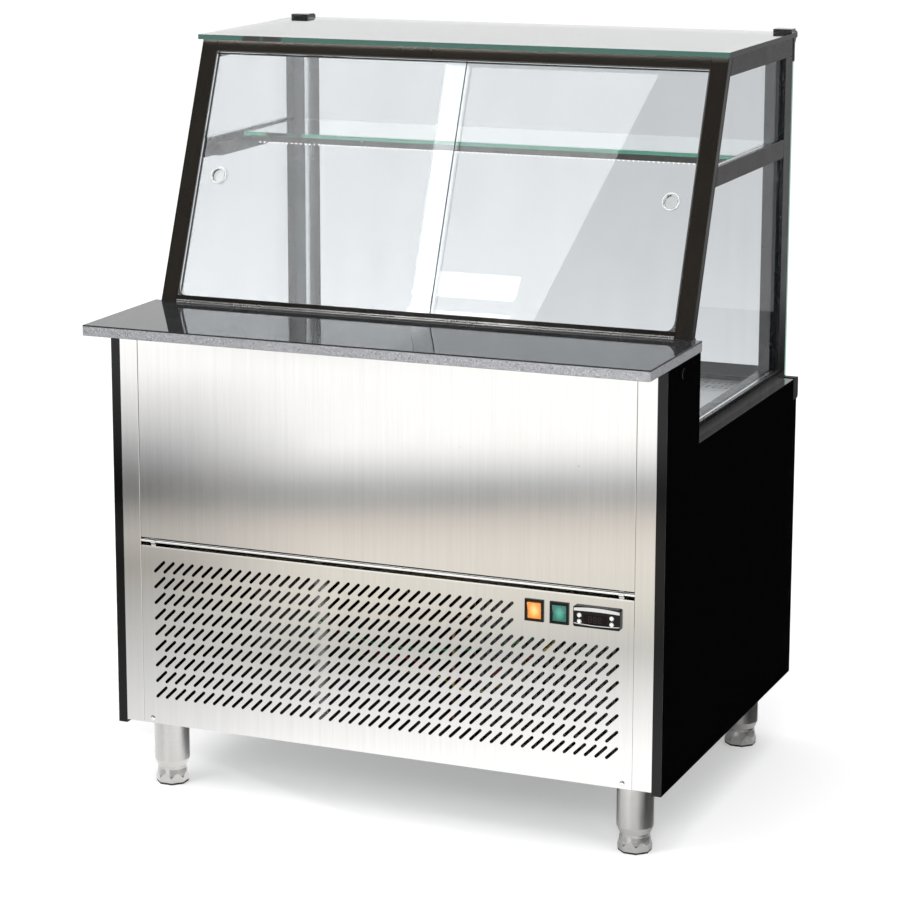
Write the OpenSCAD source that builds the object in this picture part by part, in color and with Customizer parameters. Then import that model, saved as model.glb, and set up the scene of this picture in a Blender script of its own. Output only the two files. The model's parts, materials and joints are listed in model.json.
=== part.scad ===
// Refrigerated deli case: serve-over cabinet with a granite worktop on the operator's side,
// a sloped pair of sliding glass doors above it and a flip-up glass on the customer's side.
// +X runs along the case, +Y points to the customer, +Z is up. The operator stands at -Y.

/* [Cabinet] */
// Length over the two side panels
body_w = 916; // [780:1:1300]
// Depth from the operator's front face to the back of the customer panel
body_d = 689; // [640:1:860]
// Height of the cabinet's underside above the floor
leg_h = 113; // [90:1:180]
// Thickness of a side panel
panel_t = 15; // [10:1:24]
// Height of the low, rear part of the side panels
rim_z = 622; // [560:1:680]
// Distance from the front face to the step in the side panels
step_y = 155; // [130:1:200]
// Thickness of the folded steel sheet
sheet_t = 1.2; // [0.8:0.1:2]

/* [Worktop] */
// Height of the worktop's upper face
worktop_z = 779; // [720:1:900]
// Thickness of the stone slab
worktop_t = 17; // [12:1:30]
// Overhang of the slab past the front face
worktop_front = 87; // [20:1:150]
// Overhang of the slab past each side panel
worktop_side = 2; // [0.5:0.5:12]

/* [Front] */
// Width of a front corner post
post_w = 31; // [20:1:40]
// Height of the top edge of the service panel
service_top_z = 412; // [390:1:440]
// Height of the band between the service panel and the upper panel
band_h = 13; // [12:1:20]
// Gap under the front sheets, down to the side panels' lower edge
front_lift = 5; // [2:1:15]
// Length of a cooling slot over its round ends
slot_l = 28; // [16:1:30]
// Width of a cooling slot
slot_w = 5; // [2:0.2:6]
// Distance between neighbouring slots in a row
slot_pitch_x = 16.86; // [14:0.02:22]
// Distance between the rows of slots
slot_pitch_z = 25.94; // [24:0.02:32]
// Rows of slots
slot_rows = 9; // [5:1:9]
// Upper rows that stop short for the controls
short_rows = 2; // [2:1:3]

/* [Controls] */
// Width of a switch bezel
switch_w = 30; // [24:1:34]
// Height of a switch bezel
switch_h = 34; // [28:1:38]
// Width of the thermostat's front
controller_w = 74; // [60:1:90]
// Height of the thermostat's front
controller_h = 32; // [28:1:40]
// Diameter of a thermostat button
button_d = 5.6; // [4:0.2:7]
// Travel of a thermostat button
button_travel = 0.8; // [0.4:0.1:1.2]

/* [Glass housing] */
// Distance from a side panel's outer face in to the side frame's outer face
housing_inset = 13; // [10:1:14]
// Height of the top glass's underside
housing_top_z = 1186; // [1080:1:1320]
// Lean of the operator's doors from upright, in degrees
door_lean = 22; // [14:1:28]
// Width of a sloped corner post
slope_post_w = 27; // [20:1:36]
// Depth of a sloped corner post
slope_post_d = 18; // [14:1:24]
// Thickness of a sliding door
door_t = 5; // [4:0.5:6]
// Overlap of the two closed doors
door_overlap = 38; // [20:1:70]
// Diameter of a door's finger pull
pull_d = 28; // [20:1:36]
// Thickness of the side and customer glass
pane_t = 6; // [4:1:8]
// Thickness of the top glass
top_glass_t = 8; // [6:1:10]
// Height of the shelf's upper face
shelf_z = 1022; // [930:1:1080]
// Depth of the shelf, front to back
shelf_d = 198; // [120:1:260]
// Thickness of the shelf
shelf_t = 6; // [5:1:10]

/* [Cold well] */
// Height of the display deck
deck_z = 618; // [560:1:620]
// Depth of the perforated air strip on the customer's side
air_strip_d = 88; // [70:1:170]
// Height of the well's floor
well_floor_z = 488; // [470:1:520]
// Thickness of the foam around the well
foam_t = 38; // [25:1:45]

/* [Feet] */
// Outer diameter of a leg
leg_d = 57; // [45:1:65]
// Distance from a side panel's outer face to the middle of a leg
leg_inset = 61.5; // [50:0.5:120]
// Distance from the front face to the front legs
leg_y = 65; // [50:1:120]
// Diameter of a foot's threaded stud
stud_d = 16; // [12:1:18]

/* [Hidden] */
$fn = 48;

// Clearances
gap = 0.3;          // between neighbouring pieces
slip = 0.06;        // radial, around a pin or stud
rattle = 1;         // around a piece that is lifted or slid out

// Cabinet
half_w = body_w / 2;
inner_x = half_w - panel_t;
back_w = 17;                        // customer panel
strip_gap = 3;                      // edge strip between side and customer panels
side_d = body_d - back_w - strip_gap;
bumper_out = 9;
seam_x = inner_x - post_w;
front_z = leg_h + front_lift;
worktop_under = worktop_z - worktop_t;
fold_d = 14;                        // depth of a folded return
upper_z = service_top_z + band_h;
all_front = -worktop_front;
all_back = body_d + bumper_out;
mid_y = (all_front + all_back) / 2;

// Hinge rod of the service panel
rod_r = 3.5;
rod_y = 5;
rod_z = service_top_z + band_h / 2 + 1;
knuckle_r = min(5.5, upper_z - rod_z - 0.5);
knuckle_w = 8;
knuckle_x = seam_x - 21;

// Slots: the rows start and end the same distance from the seams
slot_margin = 30;                   // least distance from a seam to a slot's middle
slot_cols = floor((2 * seam_x - 2 * slot_margin) / slot_pitch_x) + 1;
slot_x0 = -slot_pitch_x * (slot_cols - 1) / 2;
slot_z0 = service_top_z - 33;       // middle of the top row
controls_clear = 32 + 2 * switch_w + controller_w;
short_cols = slot_cols - ceil(controls_clear / slot_pitch_x);

// Controls, measured from the right seam
controls_z = service_top_z - 32;
controller_x = seam_x - 20 - controller_w / 2;
switch_pitch = switch_w + 10;
switch_green_x = controller_x - controller_w / 2 - 8.5 - switch_w / 2;
switch_amber_x = switch_green_x - switch_pitch;
panel_y = 0.5;                      // front face of the front sheets
rocker_w = switch_w - 8;
rocker_h = switch_h - 8.4;
rocker_tilt = 6;
rocker_pivot_y = panel_y + 3.5;
rocker_pin_r = 1.4;
fascia_d = 5.5;
button_r = button_d / 2;
button_dx = [-27.2, 23.7];
button_dz = [2.2, -7.4];
button_out = 1.1;

// Glass housing
frame_x = half_w - housing_inset;
rail_w = 16.7;
slope_y = step_y - 8;
post_x = frame_x - slope_post_w;
track_d = 4 + 2 * (door_t + 2) + 6;
track_low_h = 12;
track_top_h = 19;
slope_len = (housing_top_z - worktop_z) / cos(door_lean);
outer_v = 4;
inner_v = outer_v + door_t + 5;
door_u0 = 4.3;
door_u1 = slope_len - 7.5;
door_edge_x = post_x - rattle;
door_w = door_edge_x + door_overlap / 2;
pull_u = (door_u0 + door_u1) / 2 - 5;
pull_x = door_edge_x - 37;
side_back_y = side_d - 47;          // front face of the rear posts
rear_post_w = 20.5;
rear_post_x = frame_x - rail_w - gap - rear_post_w;
rear_post_d = 36;
rear_out_y = side_back_y + rear_post_d;
pane_y = rear_out_y + 2;            // inner face of the customer glass
pane_low_z = rim_z + 0.5;
ledge_z = rim_z - 2;
rim_top = rim_z + 16;
rim_low = rim_z - 22;
rail_low_top = rim_top + 7;
mid_low = shelf_z - 27;
mid_top = shelf_z + 3;
top_low = housing_top_z - 30;
top_glass_x = frame_x + 4;
top_glass_y0 = slope_at(housing_top_z) - 11;
top_glass_y1 = pane_y + pane_t + 6;
shelf_y1 = side_back_y - 2;
shelf_y0 = shelf_y1 - shelf_d;
pivot_y = top_glass_y1 + 5.5;
pivot_z = housing_top_z + 5;
pivot_r = 5;
pin_r = 2;
bracket_w = 31;
bracket_x = frame_x - bracket_w / 2 + 0.5;
fixed_part = 10.5;                  // width of the fixed knuckle

// Cold well
well_x = inner_x - foam_t;
wall_t = 2;
well_y0 = step_y + 20;
well_y1 = side_d - 29;
tray_y1 = well_y1 - air_strip_d - 2;
tray_h = 10;
tray_lip = tray_h + gap;

// Machine bay
floor_z = leg_h + 2;                // upper face of the base pan
stud_r = stud_d / 2;
leg_r = leg_d / 2;
leg_x = half_w - leg_inset;
leg_back_y = side_d - 52;
foot_top = 30;                      // seam between a foot and its leg
neck_r = leg_r - 4.3;
condenser_w = 270;
condenser_x = seam_x - 22 - condenser_w / 2;
condenser_y = 96;
condenser_top = service_top_z - 14;
fan_r = 116;
fan_z = (floor_z + condenser_top) / 2 + 4;
shroud_y = condenser_y + 44;
motor_y = shroud_y + 46;
compressor_x = 20;
compressor_y = 400;
compressor_r = 78;
receiver_x = compressor_x - 150;
receiver_y = compressor_y + 120;
drier_h = 140;
evap_y = well_y0 + 250;
evap_fan_r = 48;
evap_plate_h = deck_z - tray_lip - 8 - well_floor_z - wall_t;
evap_fan_z = well_floor_z + wall_t + evap_plate_h / 2;
evap_fan_y = well_y0 + 120;
drain_x = -142;
drain_y = 96;
drain_r = 11;
drain_wall = 1.5;
spigot_r = 12;
spigot_l = 20;
drain_end = 22;                     // spigot's end below the base pan
gland_x = -seam_x + 42;
gland_z = leg_h + 55;
cable_r = 4.6;

// Front line of the sloped doors at height z
function slope_at(z) = slope_y + (z - worktop_z) * tan(door_lean);
// Back line of the sloped posts at height z
function slope_back(z) = slope_at(z) + slope_post_d / cos(door_lean) + gap;

// Puts the working frame, with y = 0 on the front face, over the middle of the base
module placed() { translate([0, -mid_y, 0]) children(); }
// A box from its low corner to its high corner
module box(lo, hi) { translate(lo) cube(hi - lo); }
// The same piece on both sides of the case
module both_sides() { for (side = [-1, 1]) scale_x(side) children(); }
module scale_x(side) { if (side > 0) children(); else mirror([1, 0, 0]) children(); }
// x along the case, y into the case square to the doors, z up along the doors
module on_slope() { translate([0, slope_y, worktop_z]) rotate([-door_lean, 0, 0]) children(); }
// A profile drawn in (y, z) and drawn out along x from x0 to x1
module along_x(x0, x1) {
    translate([x0, 0, 0]) rotate([90, 0, 90]) linear_extrude(x1 - x0) children();
}
// A cylinder along y from y0 to y1
module rod_y(x, y0, y1, z, r) { translate([x, y0, z]) rotate([-90, 0, 0]) cylinder(h = y1 - y0, r = r); }
// A rectangle with round corners, drawn from its middle
module round_rect(w, h, r) {
    union() {
        square([w - 2 * r, h], center = true);
        square([w, h - 2 * r], center = true);
        for (x = [-1, 1], y = [-1, 1]) translate([x * (w / 2 - r), y * (h / 2 - r)]) circle(r);
    }
}
// A pipe through a list of points, with round elbows
module pipe(route, r) {
    for (i = [0 : len(route) - 2]) {
        leg = route[i + 1] - route[i];
        run = norm(leg);
        translate(route[i]) rotate([0, acos(leg[2] / run), atan2(leg[1], leg[0])]) cylinder(h = run, r = r);
        if (i > 0) translate(route[i]) sphere(r);
    }
}
// A sheet with its edges folded back by depth d, front face at y0
module folded_sheet(x0, x1, y0, z0, z1, d) {
    difference() {
        box([x0, y0, z0], [x1, y0 + d, z1]);
        box([x0 + sheet_t, y0 + sheet_t, z0 + sheet_t], [x1 - sheet_t, y0 + d + 1, z1 - sheet_t]);
    }
}

// ---- Cabinet ----
module base_pan() {
    color("silver") placed() difference() {
        box([-inner_x + gap, fold_d + 2, leg_h], [inner_x - gap, side_d - gap, leg_h + 26]);
        box([-inner_x + gap + 2, 0, floor_z], [inner_x - gap - 2, side_d - gap - 2, leg_h + 27]);
        translate([drain_x, drain_y, leg_h - 1]) cylinder(h = 4, r = drain_r + 0.2);
        for (side = [-1, 1]) box([side > 0 ? seam_x - 2 : -half_w, 0, leg_h - 1],
            [side > 0 ? half_w : -seam_x + 2, post_w + 1, leg_h + 27]);
    }
}
module leg_tubes() {
    wall = 2;
    color("gainsboro") placed() for (x = [-leg_x, leg_x], y = [leg_y, leg_back_y])
        translate([x, y, 0]) rotate_extrude($fn = 72) polygon([
            [stud_r + slip, foot_top + 7], [neck_r - wall, foot_top + 7], [neck_r - wall, foot_top + gap],
            [neck_r, foot_top + gap], [leg_r, foot_top + 11], [leg_r, leg_h], [leg_r - wall, leg_h],
            [leg_r - wall, foot_top + 21], [stud_r + slip, foot_top + 21]]);
}
// An eight-sided base that narrows to a round neck, on a pad
module foot() {
    pad_h = 3;
    base_r = leg_r - 1.9;
    foot_neck_r = neck_r - 0.8;
    color("silver") union() {
        rotate(22.5) cylinder(h = pad_h, r = base_r - 0.8, $fn = 8);
        intersection() {
            translate([0, 0, pad_h]) rotate(22.5) cylinder(h = foot_top - pad_h, r = base_r, $fn = 8);
            rotate_extrude($fn = 72) polygon([[0, pad_h - 1], [base_r + 1, pad_h - 1], [base_r + 1, 8],
                [base_r - 1.2, 14], [foot_neck_r, 25], [foot_neck_r, foot_top], [0, foot_top]]);
        }
        translate([0, 0, foot_top - 1]) cylinder(h = 36, r = stud_r);
    }
}
module foot_front_left() { placed() translate([-leg_x, leg_y, 0]) foot(); }
module foot_front_right() { placed() translate([leg_x, leg_y, 0]) foot(); }
module foot_rear_left() { placed() translate([-leg_x, leg_back_y, 0]) foot(); }
module foot_rear_right() { placed() translate([leg_x, leg_back_y, 0]) foot(); }
module side_panel() {
    color("black") placed() union() {
        along_x(inner_x, half_w) polygon([[0, leg_h], [side_d, leg_h], [side_d, rim_z], [step_y, rim_z],
            [step_y, worktop_under], [0, worktop_under]]);
        // edge strip that holds the customer panel off the side panel
        box([half_w - 12, side_d - 0.5, leg_h], [half_w, side_d + strip_gap, ledge_z - 34]);
        // cover cap over the worktop's fixing screw
        translate([half_w - 1, step_y - 81, worktop_under - 19]) rotate([0, 90, 0]) cylinder(h = 1.8, r = 8);
    }
}
module side_panel_left() { scale_x(-1) side_panel(); }
module side_panel_right() { side_panel(); }
module front_posts() {
    color("lightgray") placed() both_sides() difference() {
        box([seam_x, 0, front_z], [inner_x, post_w, worktop_under]);
        box([seam_x + sheet_t, sheet_t, front_z - 1], [inner_x - sheet_t, post_w - sheet_t, worktop_under + 1]);
    }
}
module upper_front_panel() {
    color("lightgray") placed()
        folded_sheet(-seam_x + gap, seam_x - gap, panel_y, upper_z, worktop_under - gap, fold_d);
}
module hinge_rod() {
    color("white") placed() translate([-seam_x, rod_y, rod_z]) rotate([0, 90, 0])
        cylinder(h = 2 * seam_x, r = rod_r);
}
module customer_panel() {
    color("black") placed() difference() {
        box([-half_w, side_d + strip_gap, leg_h], [half_w, body_d, ledge_z - 34]);
        rod_y(gland_x, side_d, body_d + 1, gland_z, 8.2);
    }
}
module bumper_rail() {
    low = ledge_z - 33.7;
    color("black") placed() union() {
        along_x(-half_w, half_w) difference() {
            union() {
                translate([body_d - 9, low]) square([9 + bumper_out - 5, rim_z - low]);
                translate([body_d - 9, low + 5]) square([9 + bumper_out, rim_z - low - 10]);
                for (z = [low + 5, rim_z - 5]) translate([body_d + bumper_out - 5, z]) circle(5);
            }
        }
        along_x(-half_w, half_w) polygon([[side_d + strip_gap, low], [body_d - 8, low],
            [body_d - 8, ledge_z], [side_d + strip_gap, ledge_z]]);
    }
}
module well_rim() {
    color("dimgray") placed() {
        both_sides() {
            box([well_x + gap, step_y + gap, rim_low], [inner_x, rear_out_y, rim_top]);
            box([well_x + gap, step_y + gap, rim_z], [frame_x, rear_out_y, rim_top]);
            box([well_x - wall_t, well_y0 + wall_t + gap, rim_z], [well_x + 1, rear_out_y, rim_top]);
        }
        union() {
            box([-well_x, well_y1 + gap, rim_low], [well_x, side_d, deck_z]);
            box([-inner_x, rear_out_y + gap, rim_low], [inner_x, side_d, rim_z]);
        }
    }
}
module well_tub() {
    rest_z = deck_z - tray_lip;
    color("lightgray") placed() union() {
        box([-well_x, well_y0, well_floor_z], [well_x, well_y1, well_floor_z + wall_t]);
        both_sides() box([well_x - wall_t, well_y0, well_floor_z], [well_x, well_y1, rim_z - gap]);
        both_sides() box([well_x - 14, well_y0, rest_z - 4], [well_x, well_y1, rest_z]);
        box([-well_x, well_y1 - wall_t, well_floor_z], [well_x, well_y1, rim_z - 23]);
        box([-well_x, well_y0, well_floor_z], [well_x, well_y0 + wall_t, worktop_under - 3]);
        for (y = [well_y0, tray_y1 - 7]) box([-well_x, y, rest_z - 4], [well_x, y + 14, rest_z]);
    }
}
module tub_insulation() {
    under = well_floor_z - foam_t;
    color("khaki") placed() {
        box([-well_x, step_y - foam_t, under], [well_x, side_d, well_floor_z - gap]);
        both_sides() box([well_x + gap, step_y, under], [inner_x - gap, side_d, rim_low - gap]);
        box([-well_x, well_y1 + gap, well_floor_z], [well_x, side_d, rim_low - gap]);
        box([-well_x, step_y - foam_t, well_floor_z], [well_x, well_y0 - gap, worktop_under - 6]);
    }
}
module tray(x0, x1, y0, y1) {
    difference() {
        box([x0, y0, deck_z - tray_h], [x1, y1, deck_z]);
        box([x0 + sheet_t, y0 + sheet_t, deck_z - tray_h - 1], [x1 - sheet_t, y1 - sheet_t, deck_z - sheet_t]);
    }
}
module air_grille() {
    hole_x = 11;
    row_gap = 13;
    middle_y = (tray_y1 + well_y1) / 2;
    count = floor((2 * well_x - 60) / hole_x);
    color("silver") placed() difference() {
        tray(-well_x + wall_t + gap, well_x - wall_t - gap, tray_y1 + rattle, well_y1 - wall_t - gap);
        translate([0, 0, deck_z - 4]) linear_extrude(5)
            for (i = [0 : count - 1], row = [-1.75, -0.75, 0.75, 1.75])
                translate([(i - (count - 1) / 2) * hole_x, middle_y + row * row_gap]) circle(3.4, $fn = 6);
    }
}
module deck_tray(x0, x1) {
    color("gainsboro") placed() tray(x0, x1, well_y0 + wall_t + rattle, tray_y1);
}
module deck_tray_left() { deck_tray(-well_x + wall_t + rattle, -gap); }
module deck_tray_right() { deck_tray(gap, well_x - wall_t - rattle); }

// ---- Refrigeration ----
module evaporator_coil() {
    half = well_x * 0.62;
    z0 = well_floor_z + wall_t;
    color("silver") placed() union() {
        box([-half, evap_y, z0], [half, evap_y + 90, z0 + 4]);
        for (x = [-half, half - 3]) box([x, evap_y, z0], [x + 3, evap_y + 90, z0 + 88]);
        difference() {
            box([-half + 8, evap_y + 5, z0 + 3], [half - 8, evap_y + 85, z0 + 84]);
            for (i = [1 : 19]) let (x = -half + 8 + i * (2 * half - 16) / 20)
                box([x - 2, evap_y + 4, z0 + 10], [x + 2, evap_y + 12, z0 + 85]);
        }
        for (z = [z0 + 18, z0 + 42, z0 + 66], y = [evap_y + 25, evap_y + 65])
            translate([-half - 12, y, z]) rotate([0, 90, 0]) cylinder(h = 2 * half + 24, r = 4);
    }
}
// Flat plate with a round air opening, a motor behind it and its arms; the fan turns in the opening
module fan_plate(x, y, z, w, h, r, depth) {
    translate([x, y, z]) rotate([-90, 0, 0]) union() {
        difference() {
            union() {
                translate([-w / 2, -h / 2, 0]) cube([w, h, 2]);
                cylinder(h = depth, r = r + 5, $fn = 96);
            }
            translate([0, 0, -1]) cylinder(h = depth + 2, r = r + 3, $fn = 96);
        }
    }
}
module fan_blades(x, y, z, r, hub_r, blades, pitch, bore_r) {
    translate([x, y, z]) rotate([-90, 0, 0]) difference() {
        union() {
            cylinder(h = 22, r = hub_r);
            intersection() {
                for (i = [0 : blades - 1]) rotate([0, 0, i * 360 / blades])
                    translate([0, 0, 11]) rotate([pitch, 0, 0])
                        translate([hub_r - 4, -r * 0.3, -1]) cube([r, r * 0.6, 2]);
                cylinder(h = 22, r = r, $fn = 96);
            }
        }
        translate([0, 0, -1]) cylinder(h = 24, r = bore_r);
    }
}
module evaporator_fan_frame() {
    w = 300;
    color("darkgray") placed() union() {
        fan_plate(0, evap_fan_y, evap_fan_z, w, evap_plate_h, evap_fan_r, 18);
        rod_y(0, evap_fan_y + 22, evap_fan_y + 52, evap_fan_z, 17);
        rod_y(0, evap_fan_y - 14, evap_fan_y + 23, evap_fan_z, 3);
        for (a = [-1, 1]) {
            box([min(a * 12, a * (evap_fan_r + 9)), evap_fan_y + 27, evap_fan_z - 4],
                [max(a * 12, a * (evap_fan_r + 9)), evap_fan_y + 30, evap_fan_z + 4]);
            translate([a * (evap_fan_r + 7) - 3, evap_fan_y + 1, evap_fan_z - 4]) cube([6, 29, 8]);
        }
    }
}
module evaporator_fan() {
    color("dimgray") placed() fan_blades(0, evap_fan_y - 4, evap_fan_z, evap_fan_r, 14, 5, 28, 3 + slip);
}
module compressor() {
    z0 = floor_z + 14;
    shell_h = 205;
    flat = 34;
    color([0.12, 0.12, 0.13]) placed() translate([compressor_x, compressor_y, 0]) union() {
        translate([0, 0, z0]) rotate_extrude($fn = 96) polygon(concat(
            [[0, 0], [compressor_r - 24, 0]],
            [for (a = [0 : 15 : 90]) [compressor_r - 24 + 24 * sin(a), flat - 10 - (flat - 10) * cos(a)]],
            [[compressor_r, shell_h - flat]],
            [for (a = [15 : 15 : 90]) [compressor_r * cos(a), shell_h - flat + flat * sin(a)]]));
        translate([0, 0, z0 + shell_h * 0.55]) cylinder(h = 5, r = compressor_r + 4, $fn = 96);
        box([-100, -60, z0 - 3], [100, 60, z0 + 2]);
        for (x = [-86, 86], y = [-46, 46]) translate([x, y, floor_z]) cylinder(h = 12, r = 11);
        box([compressor_r - 12, -26, z0 + 60], [compressor_r + 22, 26, z0 + 130]);
    }
}
module condenser_coil() {
    x0 = condenser_x - condenser_w / 2;
    x1 = condenser_x + condenser_w / 2;
    color("silver") placed() union() {
        box([x0, condenser_y, floor_z], [x1, condenser_y + 40, floor_z + 6]);
        for (x = [x0, x1 - 2]) box([x, condenser_y, floor_z], [x + 2, condenser_y + 40, condenser_top]);
        difference() {
            box([x0 + 8, condenser_y + 2, floor_z + 5], [x1 - 8, condenser_y + 38, condenser_top - 4]);
            for (i = [1 : 25]) let (x = x0 + 8 + i * (condenser_w - 16) / 26)
                box([x - 2.4, condenser_y + 1, floor_z + 12], [x + 2.4, condenser_y + 10, condenser_top]);
        }
        for (i = [0 : 6], y = [condenser_y + 14, condenser_y + 28])
            translate([x0 - 10, y, floor_z + 28 + i * (condenser_top - floor_z - 56) / 6]) rotate([0, 90, 0])
                cylinder(h = condenser_w + 20, r = 4.8);
    }
}
module condenser_fan_shroud() {
    color([0.15, 0.15, 0.16]) placed() union() {
        fan_plate(condenser_x, shroud_y, fan_z, condenser_w, 2 * (fan_z - floor_z), fan_r, 30);
        for (a = [45 : 90 : 315]) translate([condenser_x, shroud_y + 26, fan_z]) rotate([0, a, 0])
            box([fan_r + 3.5, -2, -4], [fan_r + 12, 24, 4]);
    }
}
module condenser_fan_motor() {
    color("dimgray") placed() union() {
        rod_y(condenser_x, motor_y, motor_y + 62, fan_z, 36);
        rod_y(condenser_x, shroud_y + 2, motor_y + 1, fan_z, 4);
        for (a = [45 : 90 : 315]) translate([condenser_x, motor_y + 4 + gap, fan_z]) rotate([0, a, 0])
            box([20, 0, -4], [fan_r + 12, 3, 4]);
    }
}
module condenser_fan() {
    color("gray") placed() fan_blades(condenser_x, shroud_y + 5, fan_z, fan_r, 30, 5, 24, 4 + slip);
}
module receiver_and_drier() {
    color("darkslategray") placed() {
        translate([receiver_x, receiver_y, floor_z]) rotate_extrude($fn = 72) polygon(concat(
            [[0, 0], [26, 0], [26, 8], [38, 14], [38, 170]],
            [for (a = [15 : 15 : 90]) [38 * cos(a), 170 + 20 * sin(a)]]));
        translate([receiver_x, receiver_y - 100, floor_z]) rotate_extrude() polygon([
            [0, 0], [5, 0], [5, 30], [14, 44], [14, 110], [5, 124], [5, drier_h], [0, drier_h]]);
    }
}
module copper_pipes() {
    coil_x = condenser_x - condenser_w / 2 - 10;
    turn_x = coil_x - 30;
    shell_y = compressor_y - compressor_r;
    rear_y = compressor_y + compressor_r;
    head_z = floor_z + 154;
    low_z = floor_z + 28;
    color("peru") placed() {
        // discharge line from the compressor to the top of the coil
        pipe([[compressor_x, shell_y - 0.1, head_z], [compressor_x, shell_y - 40, head_z],
            [turn_x, shell_y - 40, head_z], [turn_x, shell_y - 40, condenser_top - 32],
            [turn_x, condenser_y + 28, condenser_top - 32], [coil_x, condenser_y + 28, condenser_top - 32]], 4);
        // suction line from the well down to the compressor
        pipe([[compressor_x, rear_y + 0.1, head_z], [compressor_x, rear_y + 50, head_z],
            [compressor_x, rear_y + 50, well_floor_z - foam_t - gap]], 6);
        // liquid line from the bottom of the coil to the drier
        pipe([[coil_x, condenser_y + 14, low_z], [turn_x, condenser_y + 14, low_z],
            [turn_x, condenser_y + 14, head_z + 40], [receiver_x, condenser_y + 14, head_z + 40],
            [receiver_x, receiver_y - 100, head_z + 40],
            [receiver_x, receiver_y - 100, floor_z + drier_h + gap]], 3.2);
    }
}
module terminal_box() {
    x0 = -seam_x + 14;
    color("gray") placed() union() {
        box([x0, 380, floor_z + 20], [x0 + 120, 440, floor_z + 150]);
        box([x0 + 3, 376, floor_z + 23], [x0 + 117, 381, floor_z + 147]);
        for (z = [floor_z + 10, floor_z + 140]) box([x0 + 40, 390, floor_z], [x0 + 80, 430, floor_z + 21]);
    }
}
module cable_gland() {
    color([0.1, 0.1, 0.1]) placed() difference() {
        union() {
            rod_y(gland_x, side_d - 14, body_d + 5, gland_z, 8);
            translate([gland_x, body_d + gap / 3, gland_z]) rotate([-90, 0, 0]) cylinder(h = 5, r = 12, $fn = 6);
            translate([gland_x, side_d - 8, gland_z]) rotate([-90, 0, 0])
                cylinder(h = 8 + strip_gap - gap / 3, r = 12, $fn = 6);
        }
        rod_y(gland_x, side_d - 20, body_d + 20, gland_z, cable_r);
    }
}
module drain_pipe() {
    top_z = well_floor_z - foam_t - 20;
    run_y = well_y0 + 40;
    spigot_z = leg_h - drain_end;
    color("whitesmoke") placed() difference() {
        union() {
            pipe([[drain_x, drain_y, spigot_z + 1], [drain_x, drain_y, top_z],
                [drain_x, run_y, top_z], [drain_x, run_y, well_floor_z - foam_t - gap]], drain_r);
            translate([drain_x, drain_y, spigot_z]) cylinder(h = spigot_l, r = spigot_r);
        }
        translate([drain_x, drain_y, spigot_z - 1]) cylinder(h = 150, r = drain_r - drain_wall);
    }
}

// ---- Worktop and glass housing ----
module worktop() {
    color([0.1, 0.1, 0.11]) placed() box([-half_w - worktop_side, -worktop_front, worktop_under],
        [half_w + worktop_side, step_y, worktop_z]);
}
// Everything between the worktop and the top glass
module housing_height(x0, x1) {
    intersection() {
        box([x0, 0, worktop_z], [x1, side_d, housing_top_z - gap]);
        children();
    }
}
module sloped_posts() {
    color([0.16, 0.15, 0.13]) placed() both_sides() housing_height(post_x, frame_x)
        on_slope() box([post_x, 0, -20], [frame_x, slope_post_d, slope_len + 20]);
}
module top_track() {
    color([0.16, 0.15, 0.13]) placed() housing_height(-frame_x, frame_x) on_slope() difference() {
        box([-post_x + gap, 0, slope_len - track_top_h], [post_x - gap, track_d, slope_len + 20]);
        for (v = [outer_v - 1, inner_v - 1])
            box([-post_x, v, slope_len - track_top_h - 1], [post_x, v + door_t + 2, slope_len - 6]);
    }
}
module bottom_track() {
    color("silver") placed() difference() {
        on_slope() difference() {
            box([-post_x + gap, 0, 0], [post_x - gap, track_d, track_low_h]);
            for (v = [outer_v - 1, inner_v - 1])
                box([-post_x, v, 4], [post_x, v + door_t + 2, track_low_h + 1]);
        }
        box([-half_w, 0, worktop_under], [half_w, step_y + gap, worktop_z]);
    }
}
// One side frame, drawn on the right: five bars
module side_frame() {
    color([0.22, 0.22, 0.23]) placed() {
        along_x(post_x + 0.5, frame_x) polygon([[slope_back(top_low), top_low],
            [rear_out_y, top_low], [rear_out_y, housing_top_z - gap],
            [slope_back(housing_top_z), housing_top_z - gap]]);
        along_x(frame_x - rail_w, frame_x) polygon([[slope_back(mid_low), mid_low],
            [side_back_y - gap, mid_low], [side_back_y - gap, mid_top], [slope_back(mid_top), mid_top]]);
        box([frame_x - rail_w, side_back_y, rim_top + gap], [frame_x, rear_out_y, top_low - gap]);
        box([frame_x - rail_w, step_y + 1, rim_top + gap], [frame_x, side_back_y - gap, rail_low_top]);
        box([frame_x - rail_w, step_y + 1, rail_low_top + gap], [frame_x, step_y + rail_w, worktop_z - gap]);
        // ledge that carries the shelf
        box([frame_x - rail_w - 15, shelf_y0 - 110, mid_low], [frame_x - rail_w - gap, side_back_y - gap,
            shelf_z - shelf_t - gap]);
    }
}
module side_frame_left() { scale_x(-1) side_frame(); }
module side_frame_right() { side_frame(); }
module side_glasses() {
    x0 = frame_x - rail_w / 2 - pane_t / 2;
    front_y = step_y + rail_w + gap;
    turn_z = worktop_z + (front_y - slope_y - slope_post_d / cos(door_lean) - 2 * gap) / tan(door_lean);
    color([0.8, 0.9, 0.9, 0.35]) placed() both_sides() along_x(x0, x0 + pane_t) {
        polygon([[front_y, rail_low_top + gap], [side_back_y - gap, rail_low_top + gap],
            [side_back_y - gap, mid_low - gap], [slope_back(mid_low), mid_low - gap],
            [front_y, max(turn_z, worktop_z)]]);
        polygon([[slope_back(mid_top) + 0.5, mid_top + gap], [side_back_y - gap, mid_top + gap],
            [side_back_y - gap, top_low - gap], [slope_back(top_low), top_low - gap]]);
    }
}
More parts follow.
